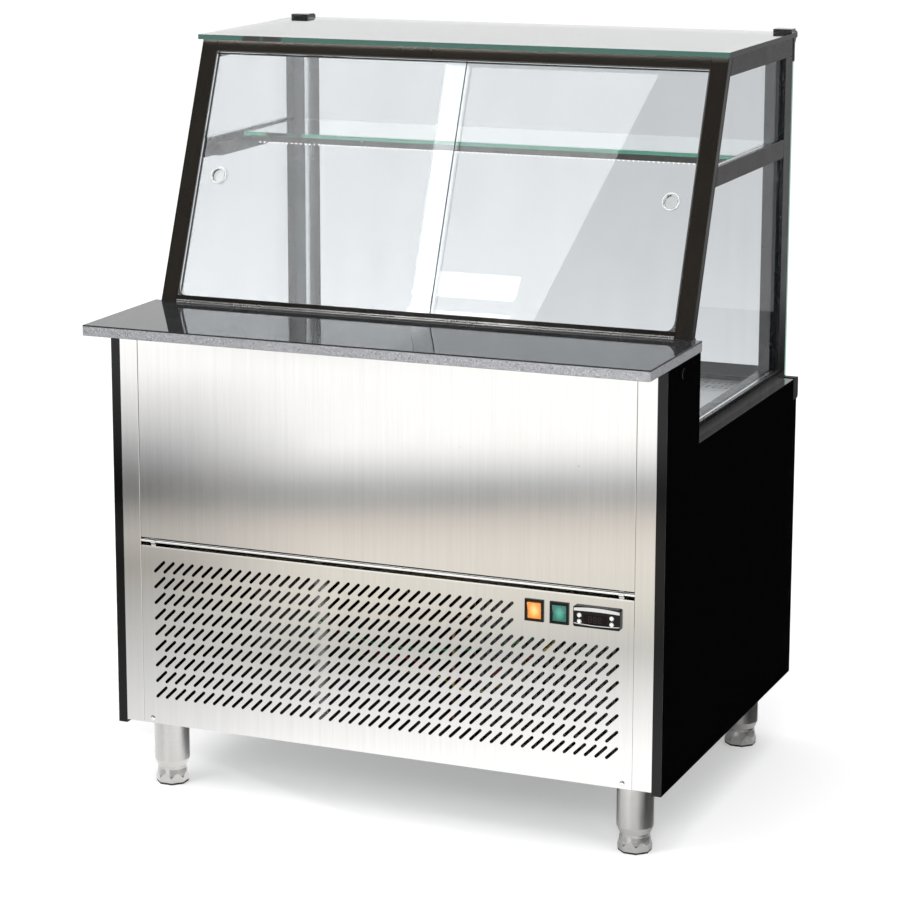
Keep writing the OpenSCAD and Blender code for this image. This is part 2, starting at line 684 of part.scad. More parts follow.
module rear_frame() {
    wall = 1.5;
    color("lightgray") placed() {
        both_sides() difference() {
            box([rear_post_x, side_back_y, rim_top], [rear_post_x + rear_post_w, rear_out_y, top_low - gap]);
            box([rear_post_x + wall, side_back_y + wall, rim_top + wall],
                [rear_post_x + rear_post_w - wall, rear_out_y - wall, top_low]);
        }
        box([-post_x, rear_out_y - 30, top_low], [post_x, rear_out_y, housing_top_z - gap]);
    }
}
module top_glass() {
    color([0.8, 0.9, 0.88, 0.35]) placed() box([-top_glass_x, top_glass_y0, housing_top_z],
        [top_glass_x, top_glass_y1, housing_top_z + top_glass_t]);
}
module shelf_glass() {
    x = frame_x - rail_w - 2;
    color([0.7, 0.95, 0.85, 0.35]) placed()
        box([-x, shelf_y0, shelf_z - shelf_t], [x, shelf_y1, shelf_z]);
}
module shelf_light_bar() {
    x = frame_x - rail_w - 15 - gap;
    color("dimgray") placed() difference() {
        box([-x, shelf_y0 + 2, shelf_z - shelf_t - 10], [x, shelf_y0 + 18, shelf_z - shelf_t - gap]);
        box([-x + 6, shelf_y0 + 5, shelf_z - shelf_t - 11], [x - 6, shelf_y0 + 15, shelf_z - shelf_t - 8.5]);
    }
}
module hinge_brackets() {
    top = housing_top_z + top_glass_t;
    x1 = bracket_x - bracket_w / 2;
    color([0.08, 0.08, 0.08]) placed() both_sides() union() {
        box([x1, top_glass_y1 - 22, top], [x1 + bracket_w, top_glass_y1, top + 6]);
        box([x1, top_glass_y1 - 1, top + 1], [x1 + fixed_part, pivot_y, top + 6]);
        translate([x1, pivot_y, pivot_z]) rotate([0, 90, 0]) cylinder(h = fixed_part, r = pivot_r);
        along_x(x1, x1 + fixed_part) polygon([[pivot_y - 4.5, pivot_z], [pivot_y + pivot_r, pivot_z],
            [pivot_y + pivot_r, top + 4], [pivot_y - 4.5, top + 4]]);
        translate([x1, pivot_y, pivot_z]) rotate([0, 90, 0]) cylinder(h = bracket_w, r = pin_r);
    }
}
module glass_clamps() {
    x0 = bracket_x - bracket_w / 2 + fixed_part + gap;
    x1 = bracket_x + bracket_w / 2;
    face = pane_y + pane_t;
    color([0.08, 0.08, 0.08]) placed() both_sides() difference() {
        union() {
            translate([x0, pivot_y, pivot_z]) rotate([0, 90, 0]) cylinder(h = x1 - x0, r = pivot_r);
            along_x(x0, x1) polygon([[face, pivot_z - 44], [face + 5, pivot_z - 44], [face + 5, pivot_z - 16],
                [pivot_y + 4, pivot_z - 3], [pivot_y + 4, pivot_z], [pivot_y - 4, pivot_z],
                [pivot_y - 4, pivot_z - 5.5 - gap], [face, pivot_z - 5.5 - gap]]);
        }
        translate([x0 - 1, pivot_y, pivot_z]) rotate([0, 90, 0]) cylinder(h = x1 - x0 + 2, r = pin_r + slip);
    }
}
module door_glass(x0, hole_x, v) {
    color([0.85, 0.92, 0.92, 0.3]) placed() on_slope() difference() {
        box([x0, v, door_u0], [x0 + door_w, v + door_t, door_u1]);
        rod_y(hole_x, v - 1, v + door_t + 1, pull_u, pull_d / 2 - 2);
    }
}
module door_pull(x, v) {
    r = pull_d / 2;
    color("white") placed() on_slope() difference() {
        union() {
            rod_y(x, v - 1, v + door_t + 1, pull_u, r - 2.1);
            rod_y(x, v - 1, v - 0.02, pull_u, r);
        }
        rod_y(x, v - 2, v + door_t, pull_u, r - 3.6);
    }
}
module door_left_glass() { door_glass(-door_edge_x, -pull_x, outer_v); }
module door_left_pull() { door_pull(-pull_x, outer_v); }
module door_right_glass() { door_glass(door_edge_x - door_w, pull_x, inner_v); }
module door_right_pull() { door_pull(pull_x, inner_v); }
module customer_glass() {
    color([0.8, 0.9, 0.9, 0.35]) placed()
        box([-frame_x, pane_y, pane_low_z], [frame_x, pane_y + pane_t, housing_top_z - 3]);
}

// ---- Service panel and controls ----
// A slanted slot with round ends, each end drawn with a few flats
module slot_outline() {
    r = slot_w / 2;
    reach = slot_l / 2 - r;
    rotate(45) polygon(concat([for (a = [-90 : 60 : 90]) [reach + r * cos(a), r * sin(a)]],
        [for (a = [90 : 60 : 270]) [-reach + r * cos(a), r * sin(a)]]));
}
module slot_pattern() {
    for (row = [0 : slot_rows - 1], col = [0 : (row < short_rows ? short_cols : slot_cols) - 1])
        translate([slot_x0 + col * slot_pitch_x, slot_z0 - row * slot_pitch_z]) slot_outline();
}
module grille_panel() {
    x0 = -seam_x + gap;
    x1 = seam_x - gap;
    color("lightgray") placed() difference() {
        union() {
            translate([0, panel_y + sheet_t, 0]) rotate([90, 0, 0]) linear_extrude(sheet_t) difference() {
                translate([x0, front_z]) square([x1 - x0, service_top_z - front_z]);
                slot_pattern();
                for (x = [switch_amber_x, switch_green_x]) translate([x, controls_z])
                    square([switch_w - 4, switch_h - 4], center = true);
                translate([controller_x, controls_z]) square([controller_w - 3, controller_h - 3], center = true);
            }
            difference() {
                box([x0, panel_y, front_z], [x1, panel_y + fold_d, service_top_z]);
                box([x0 + sheet_t, 0, front_z + sheet_t], [x1 - sheet_t, panel_y + fold_d + 1,
                    service_top_z - sheet_t]);
            }
            for (x = [-knuckle_x, knuckle_x]) {
                translate([x - knuckle_w / 2, rod_y, rod_z]) rotate([0, 90, 0])
                    cylinder(h = knuckle_w, r = knuckle_r);
                box([x - knuckle_w / 2, rod_y - 2, service_top_z - 1], [x + knuckle_w / 2, rod_y + 2, rod_z]);
            }
        }
        for (x = [-knuckle_x, knuckle_x]) translate([x - knuckle_w, rod_y, rod_z]) rotate([0, 90, 0])
            cylinder(h = 2 * knuckle_w, r = rod_r + slip);
    }
}
module panel_screws() {
    color("silver") placed() for (x = [-seam_x + 15.5, seam_x - 15.5]) translate([x, panel_y, front_z + 8])
        rotate([90, 0, 0]) difference() {
            rotate_extrude() polygon([[0, 0], [4.2, 0], [3.9, 1.2], [2.6, 2], [0, 2.2]]);
            for (a = [0, 90]) rotate(a) translate([-2.4, -0.5, 1.2]) cube([4.8, 1, 2]);
        }
}
module switch_bezels() {
    color([0.06, 0.06, 0.06]) placed() for (x = [switch_amber_x, switch_green_x])
        translate([x, 0, controls_z]) difference() {
            union() {
                box([-switch_w / 2, panel_y - 2.4, -switch_h / 2], [switch_w / 2, panel_y, switch_h / 2]);
                box([-switch_w / 2 + 2.3, panel_y - 1, -switch_h / 2 + 2.3],
                    [switch_w / 2 - 2.3, panel_y + 26, switch_h / 2 - 2.3]);
            }
            difference() {
                box([-rocker_w / 2 - gap, panel_y - 3, -rocker_h / 2 - 1.1],
                    [rocker_w / 2 + gap, panel_y + 10, rocker_h / 2 + 1.1]);
                translate([-rocker_w / 2 - 1, rocker_pivot_y, 0]) rotate([0, 90, 0])
                    cylinder(h = rocker_w + 2, r = rocker_pin_r);
            }
        }
}
module rocker(x) {
    h = rocker_h / 2;
    placed() translate([x, rocker_pivot_y, controls_z]) rotate([rocker_tilt, 0, 0]) difference() {
        along_x(-rocker_w / 2, rocker_w / 2)
            polygon([[-5.2, h], [-3.9, 0], [-5.2, -h], [3, -h + 1.4], [3, h - 1.4]]);
        translate([-rocker_w, 0, 0]) rotate([0, 90, 0]) cylinder(h = 2 * rocker_w, r = rocker_pin_r + slip);
    }
}
module rocker_amber() { color("orange") rocker(switch_amber_x); }
module rocker_green() { color("seagreen") rocker(switch_green_x); }
module button_bores(extra, y0, y1) {
    for (dx = button_dx, dz = button_dz)
        rod_y(controller_x + dx, y0, y1, controls_z + dz, button_r + extra);
}
module controller_case() {
    front = panel_y - fascia_d;
    color([0.08, 0.08, 0.09]) placed() difference() {
        union() {
            translate([controller_x, panel_y, controls_z]) rotate([90, 0, 0]) linear_extrude(fascia_d)
                round_rect(controller_w, controller_h, 3);
            box([controller_x - controller_w / 2 + 1.8, front + 2, controls_z - controller_h / 2 + 1.8],
                [controller_x + controller_w / 2 - 1.8, panel_y + 52, controls_z + controller_h / 2 - 1.8]);
        }
        button_bores(0.08, front - 1, front + 4);
        box([controller_x - 19.5, front - 1, controls_z - 10.5], [controller_x + 16.5, front + 0.8, controls_z + 4]);
    }
}
module button(dx, dz) {
    front = panel_y - fascia_d;
    color("white") placed()
        rod_y(controller_x + dx, front - button_out, front + 4 - button_travel - 0.1, controls_z + dz, button_r);
}
module button_up() { button(button_dx[0], button_dz[0]); }
module button_down() { button(button_dx[0], button_dz[1]); }
module button_set() { button(button_dx[1], button_dz[0]); }
module button_light() { button(button_dx[1], button_dz[1]); }

base_pan();
leg_tubes();
side_panel_left();
side_panel_right();
front_posts();
upper_front_panel();
hinge_rod();
customer_panel();
bumper_rail();
well_rim();
well_tub();
tub_insulation();
air_grille();
deck_tray_left();
deck_tray_right();
evaporator_coil();
evaporator_fan_frame();
evaporator_fan();
compressor();
condenser_coil();
condenser_fan_shroud();
condenser_fan_motor();
condenser_fan();
receiver_and_drier();
copper_pipes();
terminal_box();
cable_gland();
drain_pipe();
worktop();
sloped_posts();
side_frame_left();
side_frame_right();
side_glasses();
rear_frame();
top_track();
bottom_track();
top_glass();
shelf_glass();
shelf_light_bar();
hinge_brackets();
door_left_glass();
door_left_pull();
door_right_glass();
door_right_pull();
customer_glass();
glass_clamps();
grille_panel();
panel_screws();
switch_bezels();
rocker_amber();
rocker_green();
controller_case();
button_up();
button_down();
button_set();
button_light();
foot_front_left();
foot_front_right();
foot_rear_left();
foot_rear_right();
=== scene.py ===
"""Looks of a refrigerated deli case: finishes for its parts, its small trims, and a plain studio."""

import json
import math

import bmesh
import bpy
from mathutils import Matrix, Vector

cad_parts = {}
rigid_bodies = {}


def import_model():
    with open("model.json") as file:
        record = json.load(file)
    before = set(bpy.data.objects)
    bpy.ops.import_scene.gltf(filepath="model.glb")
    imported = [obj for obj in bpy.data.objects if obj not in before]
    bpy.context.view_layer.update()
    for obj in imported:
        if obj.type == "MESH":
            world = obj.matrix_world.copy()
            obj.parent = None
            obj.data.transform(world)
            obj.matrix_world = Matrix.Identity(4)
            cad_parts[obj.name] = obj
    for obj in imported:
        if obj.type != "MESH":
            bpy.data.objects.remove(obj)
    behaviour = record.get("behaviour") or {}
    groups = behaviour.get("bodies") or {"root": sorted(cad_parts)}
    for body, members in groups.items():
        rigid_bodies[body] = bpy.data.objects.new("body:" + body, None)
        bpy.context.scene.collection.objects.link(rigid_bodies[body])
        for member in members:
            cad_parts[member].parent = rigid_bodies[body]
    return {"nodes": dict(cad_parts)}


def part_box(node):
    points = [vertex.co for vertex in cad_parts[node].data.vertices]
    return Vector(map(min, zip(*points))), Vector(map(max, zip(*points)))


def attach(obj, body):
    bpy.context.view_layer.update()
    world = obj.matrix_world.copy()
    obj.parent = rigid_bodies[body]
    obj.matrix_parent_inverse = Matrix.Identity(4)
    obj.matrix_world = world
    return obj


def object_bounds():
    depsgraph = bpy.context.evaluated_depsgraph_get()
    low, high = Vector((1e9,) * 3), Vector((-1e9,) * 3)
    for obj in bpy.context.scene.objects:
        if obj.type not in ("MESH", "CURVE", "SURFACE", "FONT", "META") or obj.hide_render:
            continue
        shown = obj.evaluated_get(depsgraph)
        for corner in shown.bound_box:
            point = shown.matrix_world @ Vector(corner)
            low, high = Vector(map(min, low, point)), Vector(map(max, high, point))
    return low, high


bl_info = {
    "name": "Deli Case Finishes",
    "version": (1, 0, 0),
    "blender": (4, 5, 0),
    "location": "View3D > Sidebar > Deli Case",
    "description": "Finishes, trims and studio for a refrigerated deli case",
    "category": "Object",
}

for leftover in list(bpy.data.objects):
    bpy.data.objects.remove(leftover, do_unlink=True)

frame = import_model()
NODES = frame["nodes"]
CAD_BOX = [list(corner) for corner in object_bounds()]
MM = 0.001
UP = Vector((0, 0, 1))
REAR_STRIP = 3.1 * MM  # width of the bright strip along the side panels' rear edge
FOOT_PAD = 3.1 * MM  # height of the black pad under a foot
STONE_ARRIS = 2.2 * MM  # height of the polished rounding at the worktop's upper edge
FRONT_LINE = CAD_BOX[0][1] + 87 * MM  # the steel front's place behind the worktop's nose


# ---------------------------------------------------------------- settings


def colour_setting(name, description, default):
    return bpy.props.FloatVectorProperty(
        name=name, description=description, subtype="COLOR", size=3, min=0, max=1, default=default)


def length_setting(name, description, least, default):
    return bpy.props.FloatProperty(
        name=name, description=description, unit="LENGTH", min=least, default=default)


class SteelSettings(bpy.types.PropertyGroup):
    """Sizes and colours of the stainless steel."""

    colour: colour_setting("Steel colour", "Colour of brushed stainless steel", (0.74, 0.735, 0.72))
    polished: colour_setting("Polished colour", "Colour of polished steel and aluminium", (0.86, 0.86, 0.85))
    roughness: bpy.props.FloatProperty(
        name="Brushed roughness", description="Roughness of the brushed faces", min=0, max=1, default=0.1)
    stretch: bpy.props.FloatProperty(
        name="Grain stretch", description="How much longer than wide the brush lines are", min=1, default=90)


class PanelSettings(bpy.types.PropertyGroup):
    """Colours of the dark faces."""

    laminate: colour_setting("Laminate colour", "Colour of the gloss side panels", (0.001, 0.001, 0.0012))
    bronze: colour_setting("Bronze colour", "Colour of the anodised front frame", (0.055, 0.048, 0.04))
    grey: colour_setting("Side frame colour", "Colour of the anodised side frames", (0.022, 0.022, 0.024))
    granite: colour_setting("Granite colour", "Colour of the worktop's ground mass", (0.012, 0.013, 0.014))


class GlassSettings(bpy.types.PropertyGroup):
    """Tints of the glass."""

    tint: colour_setting("Glass tint", "Tint of light through a pane", (0.9, 0.92, 0.935))
    edge: colour_setting("Edge tint", "Tint of light along a pane's edge", (0.12, 0.36, 0.28))
    border: length_setting("Border width", "Width of the dark border on the customer glass", 0.01, 0.048)
    border_low: length_setting("Lower border", "Extra width of the dark border at its foot", 0.002, 0.004)
    lean: bpy.props.FloatProperty(
        name="Door lean", description="Lean of the sliding doors from upright", subtype="ANGLE",
        min=0, default=math.radians(22))


class LampSettings(bpy.types.PropertyGroup):
    """The shelf's row of small lamps."""

    pitch: length_setting("Lamp pitch", "Distance between neighbouring lamps", 0.004, 0.0083)
    radius: length_setting("Lamp radius", "Radius of one lamp's lens", 0.0005, 0.0013)
    glow: bpy.props.FloatProperty(
        name="Lamp glow", description="Strength of the lenses' light", min=0, default=1.6)


class StudioSettings(bpy.types.PropertyGroup):
    """Floor, lights and camera."""

    focal: bpy.props.FloatProperty(
        name="Focal length", description="Focal length of the camera, in millimetres", min=10, default=119.13)
    backdrop: bpy.props.FloatProperty(
        name="Backdrop", description="Brightness of the backdrop as seen directly", min=0, default=1.0)
    fill: bpy.props.FloatProperty(
        name="Fill", description="Brightness of the soft light from all round", min=0, default=0.55)
    key: bpy.props.FloatProperty(
        name="Key light", description="Power of the large soft light, in watts", min=0, default=95)


def settings(name):
    """One of the scene's groups of settings."""
    return getattr(bpy.context.scene, "deli_" + name)


# ---------------------------------------------------------------- node wiring


class Wiring:
    """Adds and links the nodes of one shader tree."""

    def __init__(self, tree):
        self.tree = tree

    def add(self, kind, **values):
        node = self.tree.nodes.new("ShaderNode" + kind)
        for name, value in values.items():
            setattr(node, name, value)
        return node

    def link(self, source, target):
        self.tree.links.new(source, target)

    def feed(self, target, value):
        """Sets a socket to a number or colour, or links it to another socket."""
        if isinstance(value, bpy.types.NodeSocket):
            self.link(value, target)
        elif isinstance(value, (tuple, list, Vector)) and len(value) == 3 and target.type == "RGBA":
            target.default_value = (*value, 1)
        else:
            target.default_value = value

    def math(self, operation, *values, clamp=False):
        node = self.add("Math", operation=operation, use_clamp=clamp)
        for socket, value in zip(node.inputs, values):
            self.feed(socket, value)
        return node.outputs[0]

    def vector(self, operation, *values):
        node = self.add("VectorMath", operation=operation)
        for socket, value in zip(node.inputs, values):
            self.feed(socket, value)
        return node.outputs["Value" if operation in ("DOT_PRODUCT", "LENGTH") else "Vector"]

    def mix(self, factor, low, high, blend="MIX"):
        node = self.add("Mix", data_type="RGBA", blend_type=blend)
        self.feed(node.inputs[0], factor)
        self.feed(node.inputs[6], low)
        self.feed(node.inputs[7], high)
        return node.outputs[2]

    def span(self, value, from_low, from_high, to_low, to_high, smooth=False):
        node = self.add("MapRange", interpolation_type="SMOOTHSTEP" if smooth else "LINEAR")
        for socket, number in zip(node.inputs, (value, from_low, from_high, to_low, to_high)):
            self.feed(socket, number)
        return node.outputs[0]

    def noise(self, vector, scale, detail=3.0, roughness=0.5):
        node = self.add("TexNoise")
        self.feed(node.inputs["Vector"], vector)
        self.feed(node.inputs["Scale"], scale)
        self.feed(node.inputs["Detail"], detail)
        self.feed(node.inputs["Roughness"], roughness)
        return node.outputs["Fac"]

    def place(self):
        return self.add("TexCoord").outputs["Object"]

    def split(self, vector):
        node = self.add("SeparateXYZ")
        self.link(vector, node.inputs[0])
        return node.outputs

    def ramp(self, value, *stops, constant=False):
        """A colour ramp; each stop is (position, colour)."""
        node = self.add("ValToRGB")
        node.color_ramp.interpolation = "CONSTANT" if constant else "LINEAR"
        points = node.color_ramp.elements
        while len(points) < len(stops):
            points.new(0.5)
        for point, (position, colour) in zip(points, sorted(stops, key=lambda stop: stop[0])):
            point.position = position
            point.color = (*colour, 1) if hasattr(colour, "__len__") else (colour, colour, colour, 1)
        self.feed(node.inputs[0], value)
        return node.outputs[0]

    def group(self, name, **values):
        node = self.tree.nodes.new("ShaderNodeGroup")
        node.node_tree = bpy.data.node_groups[name]
        for label, value in values.items():
            self.feed(node.inputs[label.replace("_", " ")], value)
        return node.outputs


def new_group(name, inputs, outputs):
    """An empty node group with named sockets: its wiring, its inputs and its outputs."""
    tree = bpy.data.node_groups.new(name, "ShaderNodeTree")
    for label, kind, default in inputs:
        socket = tree.interface.new_socket(name=label, in_out="INPUT", socket_type="NodeSocket" + kind)
        socket.default_value = default
    for label, kind in outputs:
        tree.interface.new_socket(name=label, in_out="OUTPUT", socket_type="NodeSocket" + kind)
    wiring = Wiring(tree)
    sources = tree.nodes.new("NodeGroupInput").outputs
    targets = tree.nodes.new("NodeGroupOutput").inputs
    return wiring, sources, targets


def make_brush_group():
    """Fine parallel lines left by brushing; the direction vector is small along the grain."""
    w, given, out = new_group(
        "Brush Lines",
        [("Direction", "Vector", (1, 1, 1)), ("Lines", "Float", 900.0), ("Contrast", "Float", 0.1)],
        [("Tone", "Float"), ("Height", "Float")])
    stretched = w.vector("MULTIPLY", w.place(), given["Direction"])
    fine = w.noise(stretched, given["Lines"], 2.0, 0.7)
    broad = w.noise(stretched, w.math("MULTIPLY", given["Lines"], 0.12), 2.0, 0.6)
    both = w.math("ADD", w.math("MULTIPLY", fine, 0.6), w.math("MULTIPLY", broad, 0.4))
    centred = w.math("SUBTRACT", both, 0.5)
    tone = w.math("ADD", w.math("MULTIPLY", centred, given["Contrast"]), 1.0)
    w.link(tone, out["Tone"])
    w.link(both, out["Height"])


def make_cloud_group():
    """Soft patches between two values, such as handling marks on a smooth face."""
    w, given, out = new_group(
        "Soft Patches",
        [("Size", "Float", 0.1), ("Low", "Float", 0.0), ("High", "Float", 1.0)],
        [("Value", "Float")])
    scale = w.math("DIVIDE", 1.0, given["Size"])
    patches = w.noise(w.place(), scale, 3.0, 0.55)
    w.link(w.span(patches, 0.3, 0.7, given["Low"], given["High"]), out["Value"])


def make_dust_group():
    """Sparse specks of dust as a mask."""
    w, given, out = new_group(
        "Dust Specks",
        [("Specks", "Float", 220.0), ("Cover", "Float", 0.05)],
        [("Mask", "Float")])
    cells = w.add("TexVoronoi", feature="F1")
    w.link(w.place(), cells.inputs["Vector"])
    w.link(given["Specks"], cells.inputs["Scale"])
    near = w.span(cells.outputs["Distance"], 0.0, 0.16, 1.0, 0.0, smooth=True)
    chosen = w.math("LESS_THAN", w.split(cells.outputs["Color"])[0], given["Cover"])
    w.link(w.math("MULTIPLY", near, chosen), out["Mask"])


def make_edge_group():
    """Tells a pane's faces from its edges: 1 where the face doesn't look along the given axis."""
    w, given, out = new_group(
        "Pane Edge",
        [("Axis", "Vector", (0, 1, 0))],
        [("Mask", "Float")])
    facing = w.add("TexCoord").outputs["Normal"]
    along = w.math("ABSOLUTE", w.vector("DOT_PRODUCT", facing, given["Axis"]))
    w.link(w.math("LESS_THAN", along, 0.7), out["Mask"])


def make_slope_group():
    """Distances up the sloped front and inward from it, from the foot of the slope."""
    w, given, out = new_group(
        "Slope Distances",
        [("Foot", "Vector", (0, 0, 0)), ("Up", "Vector", (0, 0, 1)), ("In", "Vector", (0, 1, 0))],
        [("Up", "Float"), ("In", "Float")])
    offset = w.vector("SUBTRACT", w.place(), given["Foot"])
    w.link(w.vector("DOT_PRODUCT", offset, given["Up"]), out["Up"])
    w.link(w.vector("DOT_PRODUCT", offset, given["In"]), out["In"])


def make_edge_highlight_group():
    """Painted highlight along edges: the share by which a rounded normal turns from the flat one."""
    w, given, out = new_group(
        "Painted Edge Highlight",
        [("Radius", "Float", 0.0008), ("Amount", "Float", 1.0)],
        [("Mask", "Float")])
    rounded = w.add("Bevel", samples=4)
    w.link(given["Radius"], rounded.inputs["Radius"])
    flat = w.add("NewGeometry").outputs["Normal"]
    same = w.vector("DOT_PRODUCT", rounded.outputs[0], flat)
    turned = w.span(same, 0.995, 0.8, 0.0, 1.0)
    breaks = w.span(w.noise(w.place(), 60.0), 0.35, 0.6, 0.3, 1.0)
    w.link(w.math("MULTIPLY", w.math("MULTIPLY", turned, breaks), given["Amount"], clamp=True), out["Mask"])


# ---------------------------------------------------------------- materials


def new_finish(name, metallic=0.0, **sockets):
    """A material with one Principled shader: the material, its wiring and the shader's inputs."""
    material = bpy.data.materials.new(name)
    material.use_nodes = True
    wiring = Wiring(material.node_tree)
    shader = material.node_tree.nodes["Principled BSDF"]
    shader.inputs["Metallic"].default_value = metallic
    for label, value in sockets.items():
        wiring.feed(shader.inputs[label.replace("_", " ")], value)
    return material, wiring, shader.inputs


def bump(wiring, inputs, height, distance, strength=1.0):
    node = wiring.add("Bump")
    node.inputs["Strength"].default_value = strength
    node.inputs["Distance"].default_value = distance
    wiring.link(height, node.inputs["Height"])
    wiring.link(node.outputs[0], inputs["Normal"])


def brushed_steel(name, direction, roughness, contrast=0.2, tint=None, anisotropic=0.9, turn=0.0):
    """Stainless steel with brush lines at right angles to the direction's large parts."""
    colour = tint or tuple(settings("steel").colour)
    material, w, inputs = new_finish(name, 1.0, Anisotropic=anisotropic, Anisotropic_Rotation=turn)
    lines = w.group("Brush Lines", Direction=direction, Lines=1100.0, Contrast=contrast)
    marks = w.group("Soft Patches", Size=0.16, Low=roughness * 0.85, High=roughness * 1.2)
    dust = w.group("Dust Specks", Specks=90.0, Cover=0.012)
    toned = w.mix(1.0, colour, lines["Tone"], "MULTIPLY")
    w.link(w.mix(dust["Mask"], toned, (0.42, 0.41, 0.39)), inputs["Base Color"])
    w.link(w.math("ADD", marks["Value"], w.math("MULTIPLY", lines["Height"], 0.03)), inputs["Roughness"])
    bump(w, inputs, lines["Height"], 0.00001, 0.4)
    tangent = w.add("Tangent", direction_type="RADIAL", axis="Z")
    w.link(tangent.outputs[0], inputs["Tangent"])
    return material


def polished_metal(name, colour, roughness=0.12):
    material, w, inputs = new_finish(name, 1.0)
    marks = w.group("Soft Patches", Size=0.05, Low=roughness - 0.03, High=roughness + 0.05)
    lines = w.group("Brush Lines", Direction=(1, 1, 0.05), Lines=500.0, Contrast=0.06)
    w.link(w.mix(1.0, colour, lines["Tone"], "MULTIPLY"), inputs["Base Color"])
    w.link(marks["Value"], inputs["Roughness"])
    return material


def gloss_laminate():
    """Black high-gloss laminate with dust and a painted highlight along the arris."""
    colour = tuple(settings("panel").laminate)
    material, w, inputs = new_finish("gloss_black_laminate", 0.0, Specular_IOR_Level=0.3)
    dust = w.group("Dust Specks", Specks=160.0, Cover=0.02)
    edge_highlight = w.group("Painted Edge Highlight", Radius=0.0007, Amount=0.35)
    marks = w.group("Soft Patches", Size=0.09, Low=0.035, High=0.07)
    x, y, _ = w.split(w.place())
    past_panel = w.math("GREATER_THAN", w.math("ABSOLUTE", x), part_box("customer_panel")[1].x + 0.1 * MM)
    at_rear = w.math("GREATER_THAN", y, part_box("customer_panel")[0].y - REAR_STRIP)
    edge_strip = w.math("MULTIPLY", past_panel, at_rear)
    dusty = w.mix(w.math("MULTIPLY", dust["Mask"], 0.35), colour, (0.2, 0.2, 0.2))
    # Painted highlight: the arris is brightened to grey, standing in for light caught on the edge.
    painted_edge_highlight = w.mix(edge_highlight["Mask"], dusty, (0.3, 0.3, 0.3))
    w.link(w.mix(edge_strip, painted_edge_highlight, (0.55, 0.55, 0.54)), inputs["Base Color"])
    w.link(w.math("MAXIMUM", marks["Value"], w.math("MULTIPLY", edge_highlight["Mask"], 0.3)), inputs["Roughness"])
    w.link(edge_strip, inputs["Metallic"])
    return material


def polished_granite():
    """Black granite: a mirror top, and front and side edges sawn and honed to a speckled grey."""
    colour = tuple(settings("panel").granite)
    material, w, inputs = new_finish("polished_granite", 0.0, Specular_IOR_Level=0.27)
    place = w.place()
    grains = w.add("TexVoronoi", feature="F1")
    w.link(place, grains.inputs["Vector"])
    grains.inputs["Scale"].default_value = 900.0
    grain_tone = w.split(grains.outputs["Color"])[0]
    crystals = w.ramp(grain_tone, (0.0, colour), (0.72, (0.03, 0.031, 0.033)), (0.9, (0.085, 0.088, 0.092)),
                      (0.975, (0.2, 0.2, 0.205)))
    broad = w.noise(place, 45.0, 4.0, 0.6)
    top_colour = w.mix(w.span(broad, 0.35, 0.7, 0.2, 0.75), colour, crystals)
    height = w.split(place)[2]
    facing_up = w.split(w.add("TexCoord").outputs["Normal"])[2]
    edge = w.math("LESS_THAN", w.math("ABSOLUTE", facing_up), 0.5)
    honed = w.ramp(grain_tone, (0.0, (0.06, 0.06, 0.065)), (0.12, (0.2, 0.205, 0.215)),
                   (0.9, (0.32, 0.325, 0.34)), (1.0, (0.5, 0.5, 0.52)))
    arris = w.math("GREATER_THAN", height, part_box("worktop")[1].z - STONE_ARRIS)
    edge_colour = w.mix(arris, honed, (0.01, 0.01, 0.011))
    w.link(w.mix(edge, top_colour, edge_colour), inputs["Base Color"])
    mirror = w.group("Soft Patches", Size=0.07, Low=0.03, High=0.06)
    honed_rough = w.math("MULTIPLY", w.math("SUBTRACT", 1.0, arris), 0.3)
    w.link(w.math("ADD", mirror["Value"], w.math("MULTIPLY", edge, honed_rough)), inputs["Roughness"])
    bump(w, inputs, w.math("MULTIPLY", grain_tone, edge), 0.00006, 0.5)
    return material


def anodised(name, colour, direction, roughness=0.3, edge_highlight=0.5):
    """Anodised aluminium: extrusion lines along the bar and a painted highlight on the corners."""
    material, w, inputs = new_finish(name, 0.85)
    lines = w.group("Brush Lines", Direction=direction, Lines=700.0, Contrast=0.35)
    marks = w.group("Soft Patches", Size=0.06, Low=roughness - 0.05, High=roughness + 0.06)
    painted_edge_highlight = w.group("Painted Edge Highlight", Radius=0.0009, Amount=edge_highlight)
    toned = w.mix(1.0, colour, lines["Tone"], "MULTIPLY")
    # Painted highlight: the corners are brightened towards a pale bronze.
    w.link(w.mix(painted_edge_highlight["Mask"], toned, (0.5, 0.48, 0.45)), inputs["Base Color"])
    w.link(marks["Value"], inputs["Roughness"])
    return material


def slope_axes():
    """Foot of the slope, and its directions up and inward."""
    lean = settings("glass").lean
    foot = Vector((0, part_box("sloped_posts")[0].y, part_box("sloped_posts")[0].z))
    up = Vector((0, math.sin(lean), math.cos(lean)))
    inward = Vector((0, math.cos(lean), -math.sin(lean)))
    return foot, up, inward


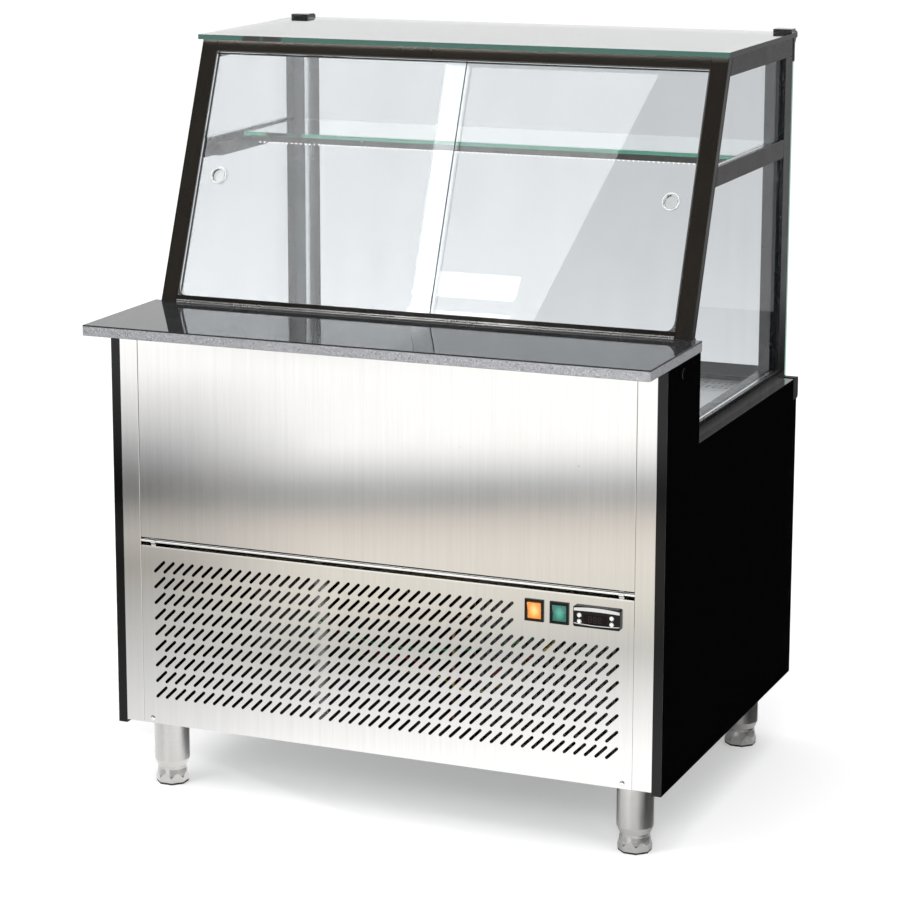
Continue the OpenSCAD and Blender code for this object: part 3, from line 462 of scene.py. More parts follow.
def slope_frame(name, colour, groove_shade_and_highlight_stops):
    """Dark anodised profile whose side faces carry painted shade in a groove and a painted highlight line, at
    given distances inward, with a painted highlight on its edges.
    """
    foot, up, inward = slope_axes()
    material, w, inputs = new_finish(name, 0.85)
    lines = w.group("Brush Lines", Direction=(1, 0.1, 0.04), Lines=800.0, Contrast=0.5)
    distance = w.group("Slope Distances", Foot=foot, Up=up, In=inward)
    painted_edge_highlight = w.group("Painted Edge Highlight", Radius=0.0009, Amount=0.5)
    marks = w.group("Soft Patches", Size=0.06, Low=0.24, High=0.36)
    sideways = w.math("ABSOLUTE", w.split(w.add("TexCoord").outputs["Normal"])[0])
    side = w.math("GREATER_THAN", sideways, 0.7)
    # Painted side lines: a black band of painted shade in the groove, then a pale band of painted highlight.
    painted_groove_and_highlight = w.ramp(w.span(distance["In"], 0.0, 0.018, 0.0, 1.0), *groove_shade_and_highlight_stops, constant=True)
    toned = w.mix(1.0, colour, lines["Tone"], "MULTIPLY")
    side_shade_and_highlight = w.mix(side, toned, painted_groove_and_highlight)
    w.link(w.mix(painted_edge_highlight["Mask"], side_shade_and_highlight, (0.42, 0.4, 0.37)), inputs["Base Color"])
    w.link(marks["Value"], inputs["Roughness"])
    return material


def track_finish():
    """The lower door track: painted shade, a black band, in the slot between two bright lips, and dark bronze
    above them.
    """
    foot, up, inward = slope_axes()
    material, w, inputs = new_finish("lower_track_aluminium", 0.9)
    distance = w.group("Slope Distances", Foot=foot, Up=up, In=inward)
    lines = w.group("Brush Lines", Direction=(0.03, 1, 1), Lines=700.0, Contrast=0.2)
    height = w.span(distance["Up"], 0.0, 0.0125, 0.0, 1.0)
    # Painted shade: the black band stands for shade in the slot between the lips.
    bands = w.ramp(height, (0.0, (0.85, 0.84, 0.8)), (0.13, (0.015, 0.015, 0.015)), (0.22, (0.9, 0.9, 0.9)),
                   (0.38, (0.05, 0.046, 0.04)), (0.9, (0.12, 0.11, 0.1)), constant=True)
    marks = w.group("Soft Patches", Size=0.04, Low=0.18, High=0.3)
    w.link(w.mix(1.0, bands, lines["Tone"], "MULTIPLY"), inputs["Base Color"])
    w.link(marks["Value"], inputs["Roughness"])
    return material


def pane(name, axis, tint=None, edge=None, ior=1.5):
    """Clear glass with tinted edges; lamps shine through it."""
    clear = tint or tuple(settings("glass").tint)
    rim = edge or tuple(settings("glass").edge)
    material, w, inputs = new_finish(name, 0.0, Transmission_Weight=1.0, IOR=ior, Roughness=0.0)
    edges = w.group("Pane Edge", Axis=axis)
    streaks = w.noise(w.vector("MULTIPLY", w.place(), (3, 3, 0.6)), 6.0, 3.0, 0.6)
    cleaned = w.mix(w.span(streaks, 0.35, 0.65, 0.0, 1.0), clear, tuple(c * 0.975 for c in clear))
    w.link(w.mix(edges["Mask"], cleaned, rim), inputs["Base Color"])
    let_through = w.add("MixShader")
    hole = w.add("BsdfTransparent")
    hole.inputs["Color"].default_value = (*(c * 0.93 for c in clear), 1)
    w.link(w.add("LightPath").outputs["Is Shadow Ray"], let_through.inputs[0])
    w.link(material.node_tree.nodes["Principled BSDF"].outputs[0], let_through.inputs[1])
    w.link(hole.outputs[0], let_through.inputs[2])
    w.link(let_through.outputs[0], material.node_tree.nodes["Material Output"].inputs["Surface"])
    return material


def moulded(name, colour, roughness=0.35, grain=2500.0, depth=0.00002, **sockets):
    """Moulded plastic or enamel with a fine texture."""
    material, w, inputs = new_finish(name, 0.0, **sockets)
    texture = w.noise(w.place(), grain, 2.0, 0.5)
    marks = w.group("Soft Patches", Size=0.03, Low=roughness - 0.05, High=roughness + 0.06)
    darker = tuple(c * 0.82 for c in colour)
    w.link(w.mix(w.span(texture, 0.3, 0.7, 0.0, 1.0), colour, darker), inputs["Base Color"])
    w.link(marks["Value"], inputs["Roughness"])
    bump(w, inputs, texture, depth, 0.5)
    return material


def rocker_with_painted_glow(name, node, colour, painted_glow_colour):
    """Translucent rocker with a painted glow: a brighter middle painted into its colour and a faint emission,
    standing in for a small lamp behind it.
    """
    low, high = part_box(node)
    centre = (low + high) / 2
    material, w, inputs = new_finish(name, 0.0, Roughness=0.18, Coat_Weight=0.4)
    away = w.vector("LENGTH", w.vector("MULTIPLY", w.vector("SUBTRACT", w.place(), centre), (1, 0, 0.75)))
    # Painted glow: the colour brightens towards the middle, as light from a lamp behind the lens would.
    glow = w.span(away, 0.001, 0.0105, 1.0, 0.0, smooth=True)
    ribs = w.noise(w.vector("MULTIPLY", w.place(), (1, 0.2, 0.2)), 1500.0, 1.0)
    body = w.mix(glow, colour, painted_glow_colour)
    ribbed = w.mix(w.span(ribs, 0.4, 0.6, 0.0, 0.25), body, tuple(c * 0.6 for c in colour))
    w.link(ribbed, inputs["Base Color"])
    w.link(body, inputs["Emission Color"])
    inputs["Emission Strength"].default_value = 0.12
    return material


def finned(name):
    """Aluminium fins seen edge on, as fine upright lines: pale fins with painted shade in the gaps between
    them.
    """
    material, w, inputs = new_finish(name, 0.9)
    fins_and_shaded_gaps = w.math("SINE", w.math("MULTIPLY", w.split(w.place())[0], 3900.0))
    patches = w.group("Soft Patches", Size=0.03, Low=0.6, High=1.0)
    # Painted shade: the dark stripes stand for shade in the gaps between the fins.
    shade = w.mix(w.span(fins_and_shaded_gaps, -0.6, 0.7, 0.0, 1.0), (0.08, 0.08, 0.085), (0.62, 0.63, 0.64))
    w.link(w.mix(1.0, shade, patches["Value"], "MULTIPLY"), inputs["Base Color"])
    inputs["Roughness"].default_value = 0.4
    bump(w, inputs, fins_and_shaded_gaps, 0.0004, 0.6)
    return material


def foot_finish():
    """Brushed foot with a black pad under it."""
    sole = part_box("foot_front_left")[0].z
    material, w, inputs = new_finish("foot_steel", 1.0, Anisotropic=0.7, Anisotropic_Rotation=0.25)
    lines = w.group("Brush Lines", Direction=(0.06, 0.06, 1), Lines=1200.0, Contrast=0.18)
    pad = w.math("LESS_THAN", w.split(w.place())[2], sole + FOOT_PAD)
    marks = w.group("Soft Patches", Size=0.02, Low=0.2, High=0.32)
    steel = w.mix(1.0, (0.56, 0.555, 0.54), lines["Tone"], "MULTIPLY")
    w.link(w.mix(pad, steel, (0.02, 0.02, 0.02)), inputs["Base Color"])
    w.link(w.math("SUBTRACT", 1.0, pad), inputs["Metallic"])
    w.link(w.math("MAXIMUM", marks["Value"], w.math("MULTIPLY", pad, 0.7)), inputs["Roughness"])
    tangent = w.add("Tangent", direction_type="RADIAL", axis="Z")
    w.link(tangent.outputs[0], inputs["Tangent"])
    return material


def rear_post_finish():
    """Rear posts: a face to the operator painted dark as shade, bright sides and a black seal along the outer
    edge.
    """
    material, w, inputs = new_finish("rear_post_steel", 0.95)
    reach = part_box("rear_frame")[1].x
    sideways = w.math("ABSOLUTE", w.split(w.add("TexCoord").outputs["Normal"])[0])
    side = w.math("GREATER_THAN", sideways, 0.7)
    seal = w.math("GREATER_THAN", w.math("ABSOLUTE", w.split(w.place())[0]), reach - 3.5 * MM)
    lines = w.group("Brush Lines", Direction=(1, 1, 0.02), Lines=700.0, Contrast=0.25)
    marks = w.group("Soft Patches", Size=0.08, Low=0.16, High=0.3)
    # Painted shade: the face to the operator is near black, though it is the same steel as the bright sides.
    face = w.mix(seal, (0.06, 0.065, 0.07), (0.004, 0.004, 0.004))
    both = w.mix(side, face, (0.82, 0.83, 0.84))
    w.link(w.mix(1.0, both, lines["Tone"], "MULTIPLY"), inputs["Base Color"])
    w.link(marks["Value"], inputs["Roughness"])
    return material


def glowing(name, colour, strength):
    material, w, inputs = new_finish(name, 0.0, Roughness=0.2)
    shade = w.group("Soft Patches", Size=0.01, Low=0.85, High=1.0)
    lit = w.mix(1.0, colour, shade["Value"], "MULTIPLY")
    w.link(lit, inputs["Base Color"])
    w.link(lit, inputs["Emission Color"])
    inputs["Emission Strength"].default_value = strength
    return material


def give(material, *names):
    """Puts one material on CAD nodes."""
    for name in names:
        slots = NODES[name].data.materials
        slots.clear()
        slots.append(material)


def soften(width, *names):
    """Rounds the outer corners of CAD nodes by a small bevel."""
    for name in names:
        node = NODES[name]
        weld = node.modifiers.new("Weld", "WELD")
        weld.merge_threshold = 0.00001
        bevel = node.modifiers.new("Bevel", "BEVEL")
        bevel.width = width
        bevel.segments = 2
        bevel.limit_method = "ANGLE"
        bevel.angle_limit = math.radians(40)
        bevel.harden_normals = True


# ---------------------------------------------------------------- mesh tools


def mesh_piece(name, mesh, material, body, smooth=False):
    """A piece from a bmesh, riding on a body."""
    data = bpy.data.meshes.new(name)
    bmesh.ops.recalc_face_normals(mesh, faces=mesh.faces)
    mesh.to_mesh(data)
    mesh.free()
    piece = bpy.data.objects.new(name, data)
    bpy.context.scene.collection.objects.link(piece)
    data.materials.append(material)
    for polygon in data.polygons:
        polygon.use_smooth = smooth
    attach(piece, body)


def add_bar(mesh, low, high, turn=None, bevel=0.0):
    """A box between two corners, with softened edges, turned by a matrix."""
    low, high = Vector(low), Vector(high)
    made = bmesh.ops.create_cube(mesh, size=1.0)["verts"]
    for vertex in made:
        vertex.co = Vector([c * s for c, s in zip(vertex.co, high - low)]) + (low + high) / 2
    if bevel:
        edges = list({edge for vertex in made for edge in vertex.link_edges})
        rounded = bmesh.ops.bevel(mesh, geom=edges, offset=bevel, segments=2, profile=0.7, affect="EDGES")
        made = rounded["verts"]
    if turn:
        for vertex in set(made):
            vertex.co = turn @ vertex.co


def add_prism(mesh, outline, depth, turn=None):
    """A closed outline in (x, z), drawn out along +Y by a depth, placed by a matrix."""
    front = [mesh.verts.new((x, 0, z)) for x, z in outline]
    back = [mesh.verts.new((x, depth, z)) for x, z in outline]
    mesh.faces.new(front)
    mesh.faces.new(list(reversed(back)))
    for i in range(len(outline)):
        j = (i + 1) % len(outline)
        mesh.faces.new((front[i], back[i], back[j], front[j]))
    if turn:
        for vertex in front + back:
            vertex.co = turn @ vertex.co


def slope_matrix():
    """Local x along the case, y inward and z up the slope, from the foot of the slope."""
    foot, up, inward = slope_axes()
    turn = Matrix((Vector((1, 0, 0)), inward, up)).transposed().to_4x4()
    return Matrix.Translation(foot) @ turn


def tube_piece(name, points, radius, material, body):
    """A wire on a smooth curve through points."""
    curve = bpy.data.curves.new(name, "CURVE")
    curve.dimensions = "3D"
    curve.bevel_depth = radius
    curve.bevel_resolution = 3
    curve.resolution_u = 6
    spline = curve.splines.new("NURBS")
    spline.points.add(len(points) - 1)
    for point, place in zip(spline.points, points):
        point.co = (*place, 1)
    spline.use_endpoint_u = True
    spline.order_u = 4
    piece = bpy.data.objects.new(name, curve)
    bpy.context.scene.collection.objects.link(piece)
    curve.materials.append(material)
    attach(piece, body)


# ---------------------------------------------------------------- operators


class DELI_OT_node_groups(bpy.types.Operator):
    """Make the shader effects that several finishes share"""

    bl_idname = "deli.node_groups"
    bl_label = "Shared Effects"

    def execute(self, context):
        for make in (make_brush_group, make_cloud_group, make_dust_group, make_edge_group, make_slope_group,
                     make_edge_highlight_group):
            make()
        return {"FINISHED"}


class DELI_OT_steel(bpy.types.Operator):
    """Finish the stainless steel front, legs, feet, rod and well"""

    bl_idname = "deli.steel"
    bl_label = "Stainless Steel"

    def execute(self, context):
        steel = settings("steel")
        along = 1 / steel.stretch
        upright = brushed_steel("front_brushed_steel", (1, 1, along), steel.roughness)
        give(upright, "front_posts", "upper_front_panel", "grille_panel")
        soften(0.0008, "front_posts", "upper_front_panel")
        legs = brushed_steel("leg_brushed_steel", (0.06, 0.06, 1), 0.3, 0.2, (0.6, 0.595, 0.58), 0.8, 0.25)
        give(legs, "leg_tubes")
        give(foot_finish(), "foot_front_left", "foot_front_right", "foot_rear_left", "foot_rear_right")
        give(polished_metal("polished_rod_steel", tuple(steel.polished)), "hinge_rod", "panel_screws")
        give(rear_post_finish(), "rear_frame")
        deck = brushed_steel("deck_steel", (along * 3, 1, 1), 0.3, 0.15, (0.62, 0.62, 0.62), 0.3)
        give(deck, "well_tub", "air_grille", "deck_tray_left", "deck_tray_right")
        give(brushed_steel("zinc_sheet", (1, 0.4, 0.4), 0.45, 0.4, (0.5, 0.51, 0.52), 0.0), "base_pan")
        return {"FINISHED"}


class DELI_OT_panels(bpy.types.Operator):
    """Finish the black side panels, customer panel, bumper and rim"""

    bl_idname = "deli.panels"
    bl_label = "Black Panels"

    def execute(self, context):
        give(gloss_laminate(), "side_panel_left", "side_panel_right", "customer_panel")
        give(moulded("bumper_rubber", (0.016, 0.016, 0.017), 0.45), "bumper_rail")
        give(moulded("rim_plastic", (0.012, 0.012, 0.013), 0.3), "well_rim")
        soften(0.0009, "side_panel_left", "side_panel_right")
        return {"FINISHED"}


class DELI_OT_worktop(bpy.types.Operator):
    """Finish the stone worktop"""

    bl_idname = "deli.worktop"
    bl_label = "Granite Worktop"

    def execute(self, context):
        give(polished_granite(), "worktop")
        soften(0.0012, "worktop")
        return {"FINISHED"}


class DELI_OT_frames(bpy.types.Operator):
    """Finish the anodised frames, tracks, light bar and hinges"""

    bl_idname = "deli.frames"
    bl_label = "Anodised Frames"

    def execute(self, context):
        panel = settings("panel")
        bronze = tuple(panel.bronze)
        # Side lines of the sloped posts: painted shade in the groove (black) and a painted highlight (pale).
        groove_shade_and_highlight_stops = ((0.0, (0.03, 0.028, 0.025)), (0.2, (0.004, 0.004, 0.004)), (0.36, (0.16, 0.15, 0.14)),
                   (0.46, (0.02, 0.02, 0.021)))
        give(slope_frame("bronze_slope_post", bronze, groove_shade_and_highlight_stops), "sloped_posts")
        give(anodised("bronze_top_track", bronze, (0.05, 1, 1)), "top_track")
        give(track_finish(), "bottom_track")
        give(anodised("grey_side_frame", tuple(panel.grey), (1, 0.1, 0.4), 0.26, 0.35),
             "side_frame_left", "side_frame_right")
        give(anodised("lamp_bar_grey", (0.05, 0.046, 0.04), (0.04, 1, 1), 0.3, 0.3), "shelf_light_bar")
        give(moulded("black_hinge_enamel", (0.008, 0.008, 0.008), 0.16, Coat_Weight=0.5),
             "hinge_brackets", "glass_clamps")
        soften(0.0008, "sloped_posts", "side_frame_left", "side_frame_right", "top_track")
        return {"FINISHED"}


class DELI_OT_glass(bpy.types.Operator):
    """Finish the glass panes, the shelf and the finger pulls"""

    bl_idname = "deli.glass"
    bl_label = "Glass"

    def execute(self, context):
        inward = slope_axes()[2]
        give(pane("door_glass", inward, edge=(0.6, 0.75, 0.7)), "door_left_glass", "door_right_glass")
        give(pane("side_glass", (1, 0, 0), ior=1.15), "side_glasses")
        give(pane("customer_glass", (0, 1, 0), ior=1.12), "customer_glass")
        give(pane("top_glass", (0, 0, 1), edge=(0.02, 0.12, 0.09)), "top_glass")
        give(pane("shelf_pane", (0, 0, 1), tint=(0.93, 0.975, 0.955), edge=(0.09, 0.36, 0.24)), "shelf_glass")
        give(pane("clear_pull_plastic", (0, 0, 0), tint=(0.97, 0.97, 0.97), edge=(0.93, 0.94, 0.94)),
             "door_left_pull", "door_right_pull")
        return {"FINISHED"}


class DELI_OT_controls(bpy.types.Operator):
    """Finish the switches, the thermostat and its buttons"""

    bl_idname = "deli.controls"
    bl_label = "Controls"

    def execute(self, context):
        black = moulded("control_black_plastic", (0.005, 0.005, 0.006), 0.25, Specular_IOR_Level=0.2)
        give(black, "switch_bezels", "controller_case")
        give(rocker_with_painted_glow("amber_lens", "rocker_amber", (0.75, 0.24, 0.02), (0.95, 0.55, 0.18)), "rocker_amber")
        give(rocker_with_painted_glow("green_lens", "rocker_green", (0.008, 0.11, 0.08), (0.05, 0.3, 0.23)), "rocker_green")
        give(moulded("button_white_plastic", (0.75, 0.75, 0.74), 0.3),
             "button_up", "button_down", "button_set", "button_light")
        return {"FINISHED"}


class DELI_OT_cooling(bpy.types.Operator):
    """Finish the compressor, coils, fans, pipes and foam"""

    bl_idname = "deli.cooling"
    bl_label = "Cooling Parts"

    def execute(self, context):
        give(finned("aluminium_fins"), "condenser_coil", "evaporator_coil")
        give(moulded("machine_black_enamel", (0.02, 0.02, 0.022), 0.35, 800.0, 0.00005),
             "compressor", "condenser_fan_shroud", "condenser_fan_motor", "receiver_and_drier")
        give(moulded("fan_grey_plastic", (0.2, 0.2, 0.21), 0.4), "condenser_fan", "evaporator_fan_frame")
        give(moulded("fan_black_plastic", (0.02, 0.02, 0.02), 0.4), "evaporator_fan", "cable_gland")
        give(polished_metal("copper_tube", (0.72, 0.36, 0.2), 0.28), "copper_pipes")
        give(moulded("box_grey_plastic", (0.32, 0.33, 0.34), 0.45), "terminal_box")
        give(moulded("drain_white_plastic", (0.75, 0.75, 0.72), 0.35), "drain_pipe")
        give(moulded("insulation_foam", (0.55, 0.47, 0.27), 0.8, 300.0, 0.0006), "tub_insulation")
        return {"FINISHED"}


class DELI_OT_glass_border(bpy.types.Operator):
    """Add the dark border and seals of the customer glass"""

    bl_idname = "deli.glass_border"
    bl_label = "Customer Glass Border"

    def execute(self, context):
        low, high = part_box("customer_glass")
        wide = settings("glass").border
        seal = moulded("black_glass_seal", (0.008, 0.008, 0.009), 0.4)
        mesh = bmesh.new()
        inner, thick = low.y - 0.0002, 0.0014
        for side in (-1, 1):
            x = sorted((side * high.x, side * (high.x - wide)))
            add_bar(mesh, (x[0], inner - thick, low.z), (x[1], inner, high.z), bevel=0.0003)
        foot_top = low.z + 16 * MM + settings("glass").border_low
        for bottom, top in ((low.z, foot_top), (high.z - 28 * MM, high.z)):
            add_bar(mesh, (low.x + wide, inner - thick, bottom), (high.x - wide, inner, top), bevel=0.0003)
        mesh_piece("customer_glass_border", mesh, seal, "customer_screen")
        return {"FINISHED"}


class DELI_OT_opening_lips(bpy.types.Operator):
    """Add the bright lips round the door opening and the corner keys at its foot"""

    bl_idname = "deli.opening_lips"
    bl_label = "Opening Lips"

    def execute(self, context):
        place = slope_matrix()
        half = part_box("bottom_track")[1].x
        lean = settings("glass").lean
        length = (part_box("top_track")[1].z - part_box("sloped_posts")[0].z) / math.cos(lean)
        top = length - 19 * MM
        bright = polished_metal("bright_lip_aluminium", (0.93, 0.93, 0.92), 0.14)
        mesh = bmesh.new()
        for side in (-1, 1):
            x = sorted((side * (half - 0.1 * MM), side * (half - 2.0 * MM)))
            add_bar(mesh, (x[0], 0.4 * MM, 12.2 * MM), (x[1], 3.2 * MM, top), place, 0.0003)
        across = half - 2.2 * MM
        add_bar(mesh, (-across, 0.4 * MM, top - 2.0 * MM), (across, 3.2 * MM, top - 0.1 * MM), place, 0.0003)
        mesh_piece("door_opening_lips", mesh, bright, "cabinet")
        keys = bmesh.new()
        for side in (-1, 1):
            outline = [(0, 12.2), (0, 28)]
            outline += [(11 - 11 * math.cos(math.radians(a)), 12.2 + 15.8 * (1 - math.sin(math.radians(a))))
                        for a in range(15, 90, 15)]
            outline += [(13, 12.2)]
            turned = [(side * (-half + 2.2 * MM + x * MM), z * MM) for x, z in outline]
            add_prism(keys, turned, 2.2 * MM, place @ Matrix.Translation((0, 0.6 * MM, 0)))
        mesh_piece("door_corner_keys", keys, bright, "cabinet")
        return {"FINISHED"}


class DELI_OT_panel_fold(bpy.types.Operator):
    """Add the bright folded edge along the top of the service panel"""

    bl_idname = "deli.panel_fold"
    bl_label = "Service Panel Fold"

    def execute(self, context):
        low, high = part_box("grille_panel")
        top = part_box("hinge_rod")[0].z - 4.1 * MM
        bright = polished_metal("bright_fold_steel", (0.9, 0.9, 0.89), 0.16)
        fold = bmesh.new()
        add_bar(fold, (low.x + 1 * MM, low.y + 0.15 * MM, top - 2.0 * MM),
                (high.x - 1 * MM, low.y + 0.8 * MM, top), bevel=0.0002)
        mesh_piece("service_panel_fold", fold, bright, "service_panel")
        return {"FINISHED"}


class DELI_OT_shelf_lamps(bpy.types.Operator):
    """Add the row of small lamps under the shelf's front edge"""

    bl_idname = "deli.shelf_lamps"
    bl_label = "Shelf Lamps"

    def execute(self, context):
        low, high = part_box("shelf_light_bar")
        lamps = settings("lamps")
        strip_material = moulded("lamp_strip_white", (0.75, 0.75, 0.74), 0.4)
        strip = bmesh.new()
        y = low.y + 1.2 * MM
        add_bar(strip, (low.x + 7 * MM, low.y + 3.2 * MM, low.z - 0.1 * MM),
                (high.x - 7 * MM, low.y + 12.5 * MM, low.z + 1.0 * MM), bevel=0.0002)
        mesh_piece("lamp_strip", strip, strip_material, "cabinet")
        lenses = bmesh.new()
        count = int((high.x - low.x - 24 * MM) / lamps.pitch)
        for i in range(count + 1):
            x = (i - count / 2) * lamps.pitch
            spot = Matrix.Translation((x, y, low.z - 0.6 * MM)) @ Matrix.Diagonal((1, 1, 0.9, 1))
            bmesh.ops.create_icosphere(lenses, subdivisions=2, radius=lamps.radius, matrix=spot)
        mesh_piece("shelf_lamps", lenses, glowing("lamp_lens", (1.0, 0.98, 0.95), lamps.glow), "cabinet",
                   smooth=True)
        return {"FINISHED"}


# One digit's bars, in millimetres from its middle: x, z, width and height.
SEGMENTS = ((0, 4.4, 3.6, 0.8), (0, 0, 3.6, 0.8), (0, -4.4, 3.6, 0.8), (-2.2, 2.2, 0.8, 3.4),
            (2.2, 2.2, 0.8, 3.4), (-2.2, -2.2, 0.8, 3.4), (2.2, -2.2, 0.8, 3.4))


class DELI_OT_thermostat_trim(bpy.types.Operator):
    """Add the thermostat's bright bands, its window and the rings round its buttons"""

    bl_idname = "deli.thermostat_trim"
    bl_label = "Thermostat Trim"

    def execute(self, context):
        low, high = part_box("controller_case")
        centre = (low + high) / 2
        face = low.y
        half_w, half_h = (high.x - low.x) / 2, (high.z - low.z) / 2
        silver = polished_metal("thermostat_silver", (0.82, 0.82, 0.83), 0.3)
        bands = bmesh.new()
        place = Matrix.Translation((centre.x, face - 0.35 * MM, centre.z))
        steps = [i / 12 for i in range(13)]
        reach = half_w - 1.2 * MM
        upper = [(-reach + 2 * reach * t, half_h - 0.8 * MM - 2.4 * MM * (2 * t - 1) ** 2) for t in steps]
        lower = [(-reach + 2 * reach * t, half_h - 6.6 * MM - 0.9 * MM * (2 * t - 1) ** 2) for t in steps]
        add_prism(bands, upper + lower[::-1], 0.5 * MM, place)
        thin_top = [(-reach + 2 * reach * t, -half_h + 4.4 * MM + 1.6 * MM * (2 * t - 1) ** 2) for t in steps]
        thin_low = [(x, z - 1.1 * MM) for x, z in thin_top]
        add_prism(bands, thin_top + thin_low[::-1], 0.5 * MM, place)
        mesh_piece("thermostat_bands", bands, silver, "service_panel")
        window = bmesh.new()
        add_bar(window, (centre.x - 19.2 * MM, face + 0.2 * MM, centre.z - 10.2 * MM),
                (centre.x + 16.2 * MM, face + 0.75 * MM, centre.z + 3.7 * MM), bevel=0.0002)
        pane_material = moulded("display_window", (0.006, 0.003, 0.003), 0.1, 60.0, 0.0,
                                Specular_IOR_Level=0.15)
        mesh_piece("thermostat_window", window, pane_material, "service_panel")
        digits = bmesh.new()
        for cell in range(3):
            x = centre.x - 10.5 * MM + cell * 7.5 * MM
            for dx, dz, w, h in SEGMENTS:
                z = centre.z - 3.2 * MM + dz * MM
                add_bar(digits, (x + (dx - w / 2) * MM, face + 0.12 * MM, z - h / 2 * MM),
                        (x + (dx + w / 2) * MM, face + 0.2 * MM, z + h / 2 * MM))
        unlit = moulded("unlit_segments", (0.012, 0.004, 0.004), 0.3)
        mesh_piece("thermostat_segments", digits, unlit, "service_panel")
        rings = bmesh.new()
        for name in ("button_up", "button_down", "button_set", "button_light"):
            a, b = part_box(name)
            middle = (a + b) / 2
            radius = (b.x - a.x) / 2
            turn = facing_front(middle.x, face - 0.15 * MM, middle.z)
            ring(rings, radius + 0.25 * MM, radius + 0.85 * MM, 0.35 * MM, turn)
        mesh_piece("thermostat_button_rings", rings, silver, "service_panel", smooth=True)
        return {"FINISHED"}


def facing_front(x, y, z):
    """A place whose local z looks along y."""
    return Matrix.Translation((x, y, z)) @ Matrix.Rotation(math.pi / 2, 4, "X")


def ring(mesh, inner, outer, height, turn, steps=28):
    """A flat ring of square section round local Z, centred on its own middle."""
    rows = []
    for radius, z in ((inner, -height / 2), (outer, -height / 2), (outer, height / 2), (inner, height / 2)):
        row = [mesh.verts.new(turn @ Vector((radius * math.cos(2 * math.pi * i / steps),
                                             radius * math.sin(2 * math.pi * i / steps), z)))
               for i in range(steps)]
        rows.append(row)
    for k in range(4):
        a, b = rows[k], rows[(k + 1) % 4]
        for i in range(steps):
            j = (i + 1) % steps
            mesh.faces.new((a[i], a[j], b[j], b[i]))


class DELI_OT_pull_rings(bpy.types.Operator):
    """Add the frosted rings of the finger pulls"""

    bl_idname = "deli.pull_rings"
    bl_label = "Finger Pull Rings"

    def execute(self, context):
        place = slope_matrix()
        back = place.inverted()
        frosted = moulded("frosted_pull_ring", (0.78, 0.8, 0.8), 0.45)
        for side in ("left", "right"):
            a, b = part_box(f"door_{side}_pull")
            middle = back @ ((a + b) / 2)
            radius = (b.x - a.x) / 2
            mesh = bmesh.new()
            spot = facing_front(middle.x, middle.y - 3.6 * MM, middle.z)
            ring(mesh, radius - 1.5 * MM, radius - 0.1 * MM, 0.4 * MM, place @ spot)
            mesh_piece(f"door_{side}_pull_ring", mesh, frosted, f"door_{side}", smooth=True)
        return {"FINISHED"}


class DELI_OT_wires(bpy.types.Operator):
    """Add the wires that run through the machine bay"""

    bl_idname = "deli.wires"
    bl_label = "Machine Bay Wires"

    def execute(self, context):
        box_low, box_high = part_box("terminal_box")
        case_low, case_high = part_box("controller_case")
        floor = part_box("base_pan")[0].z + 6 * MM
        runs = (("green", (0.02, 0.3, 0.07), 0.20, -0.150), ("yellow", (0.65, 0.55, 0.05), 0.13, 0.057),
                ("red", (0.4, 0.02, 0.03), 0.15, 0.02))
        for i, (name, colour, height, x) in enumerate(runs):
            start = Vector((box_high.x, box_low.y + 20 * MM, box_low.z + (30 + 20 * i) * MM))
            end = Vector((case_low.x + (12 + 8 * i) * MM, case_high.y + 0.2 * MM, case_low.z + 8 * MM))
            y = case_high.y + 20 * MM
            route = [start, start + Vector((25 * MM, 0, 0)),
                     Vector((x - 0.06, y + 30 * MM, floor + height - 40 * MM)),
                     Vector((x, y, floor + height)), Vector((x + 0.08, y + 4 * MM, floor + height - 60 * MM)),
                     Vector((end.x - 0.12, y + 4 * MM, end.z - 90 * MM)),
                     end + Vector((0, 16 * MM, -4 * MM)), end]
            tube_piece(f"{name}_wire", route, 1.6 * MM,
                       moulded(f"{name}_wire_sleeve", colour, 0.4), "cabinet")
        return {"FINISHED"}


class DELI_OT_stage(bpy.types.Operator):
    """Set up the floor, the soft lights, the reflection cards and the camera"""

    bl_idname = "deli.stage"
    bl_label = "Studio"

    def execute(self, context):
        studio = settings("studio")
        make_floor(studio.backdrop)
        make_world(studio.backdrop, studio.fill)
        make_cards()
        make_lights(studio.key)
        make_camera(studio.focal)
        context.scene.view_settings.view_transform = "Standard"
        return {"FINISHED"}


def seen_directly(wiring):
    """1 for rays that look straight or through glass."""
    path = wiring.add("LightPath")
    return wiring.math("MAXIMUM", path.outputs["Is Camera Ray"], path.outputs["Is Transmission Ray"])


def make_floor(white):
    material, w, inputs = new_finish("studio_floor", 0.0, Roughness=0.9)
    tone = w.span(w.noise(w.place(), 1.2), 0.3, 0.7, 0.78, 0.8)
    w.link(tone, inputs["Base Color"])
    path = w.add("LightPath").outputs
    open_floor = w.span(w.vector("LENGTH", w.place()), 1.2, 5.0, 0.3 * white, 0.62 * white)
    through_glass = w.math("MULTIPLY", path["Is Transmission Ray"], 0.28 * white)
    w.link(w.math("ADD", w.math("MULTIPLY", path["Is Camera Ray"], open_floor), through_glass),
           inputs["Emission Color"])
    inputs["Emission Strength"].default_value = 1.0
    mesh = bmesh.new()
    bmesh.ops.create_grid(mesh, x_segments=1, y_segments=1, size=60)
    data = bpy.data.meshes.new("studio_floor")
    mesh.to_mesh(data)
    mesh.free()
    floor = bpy.data.objects.new("studio_floor", data)
    bpy.context.scene.collection.objects.link(floor)
    data.materials.append(material)


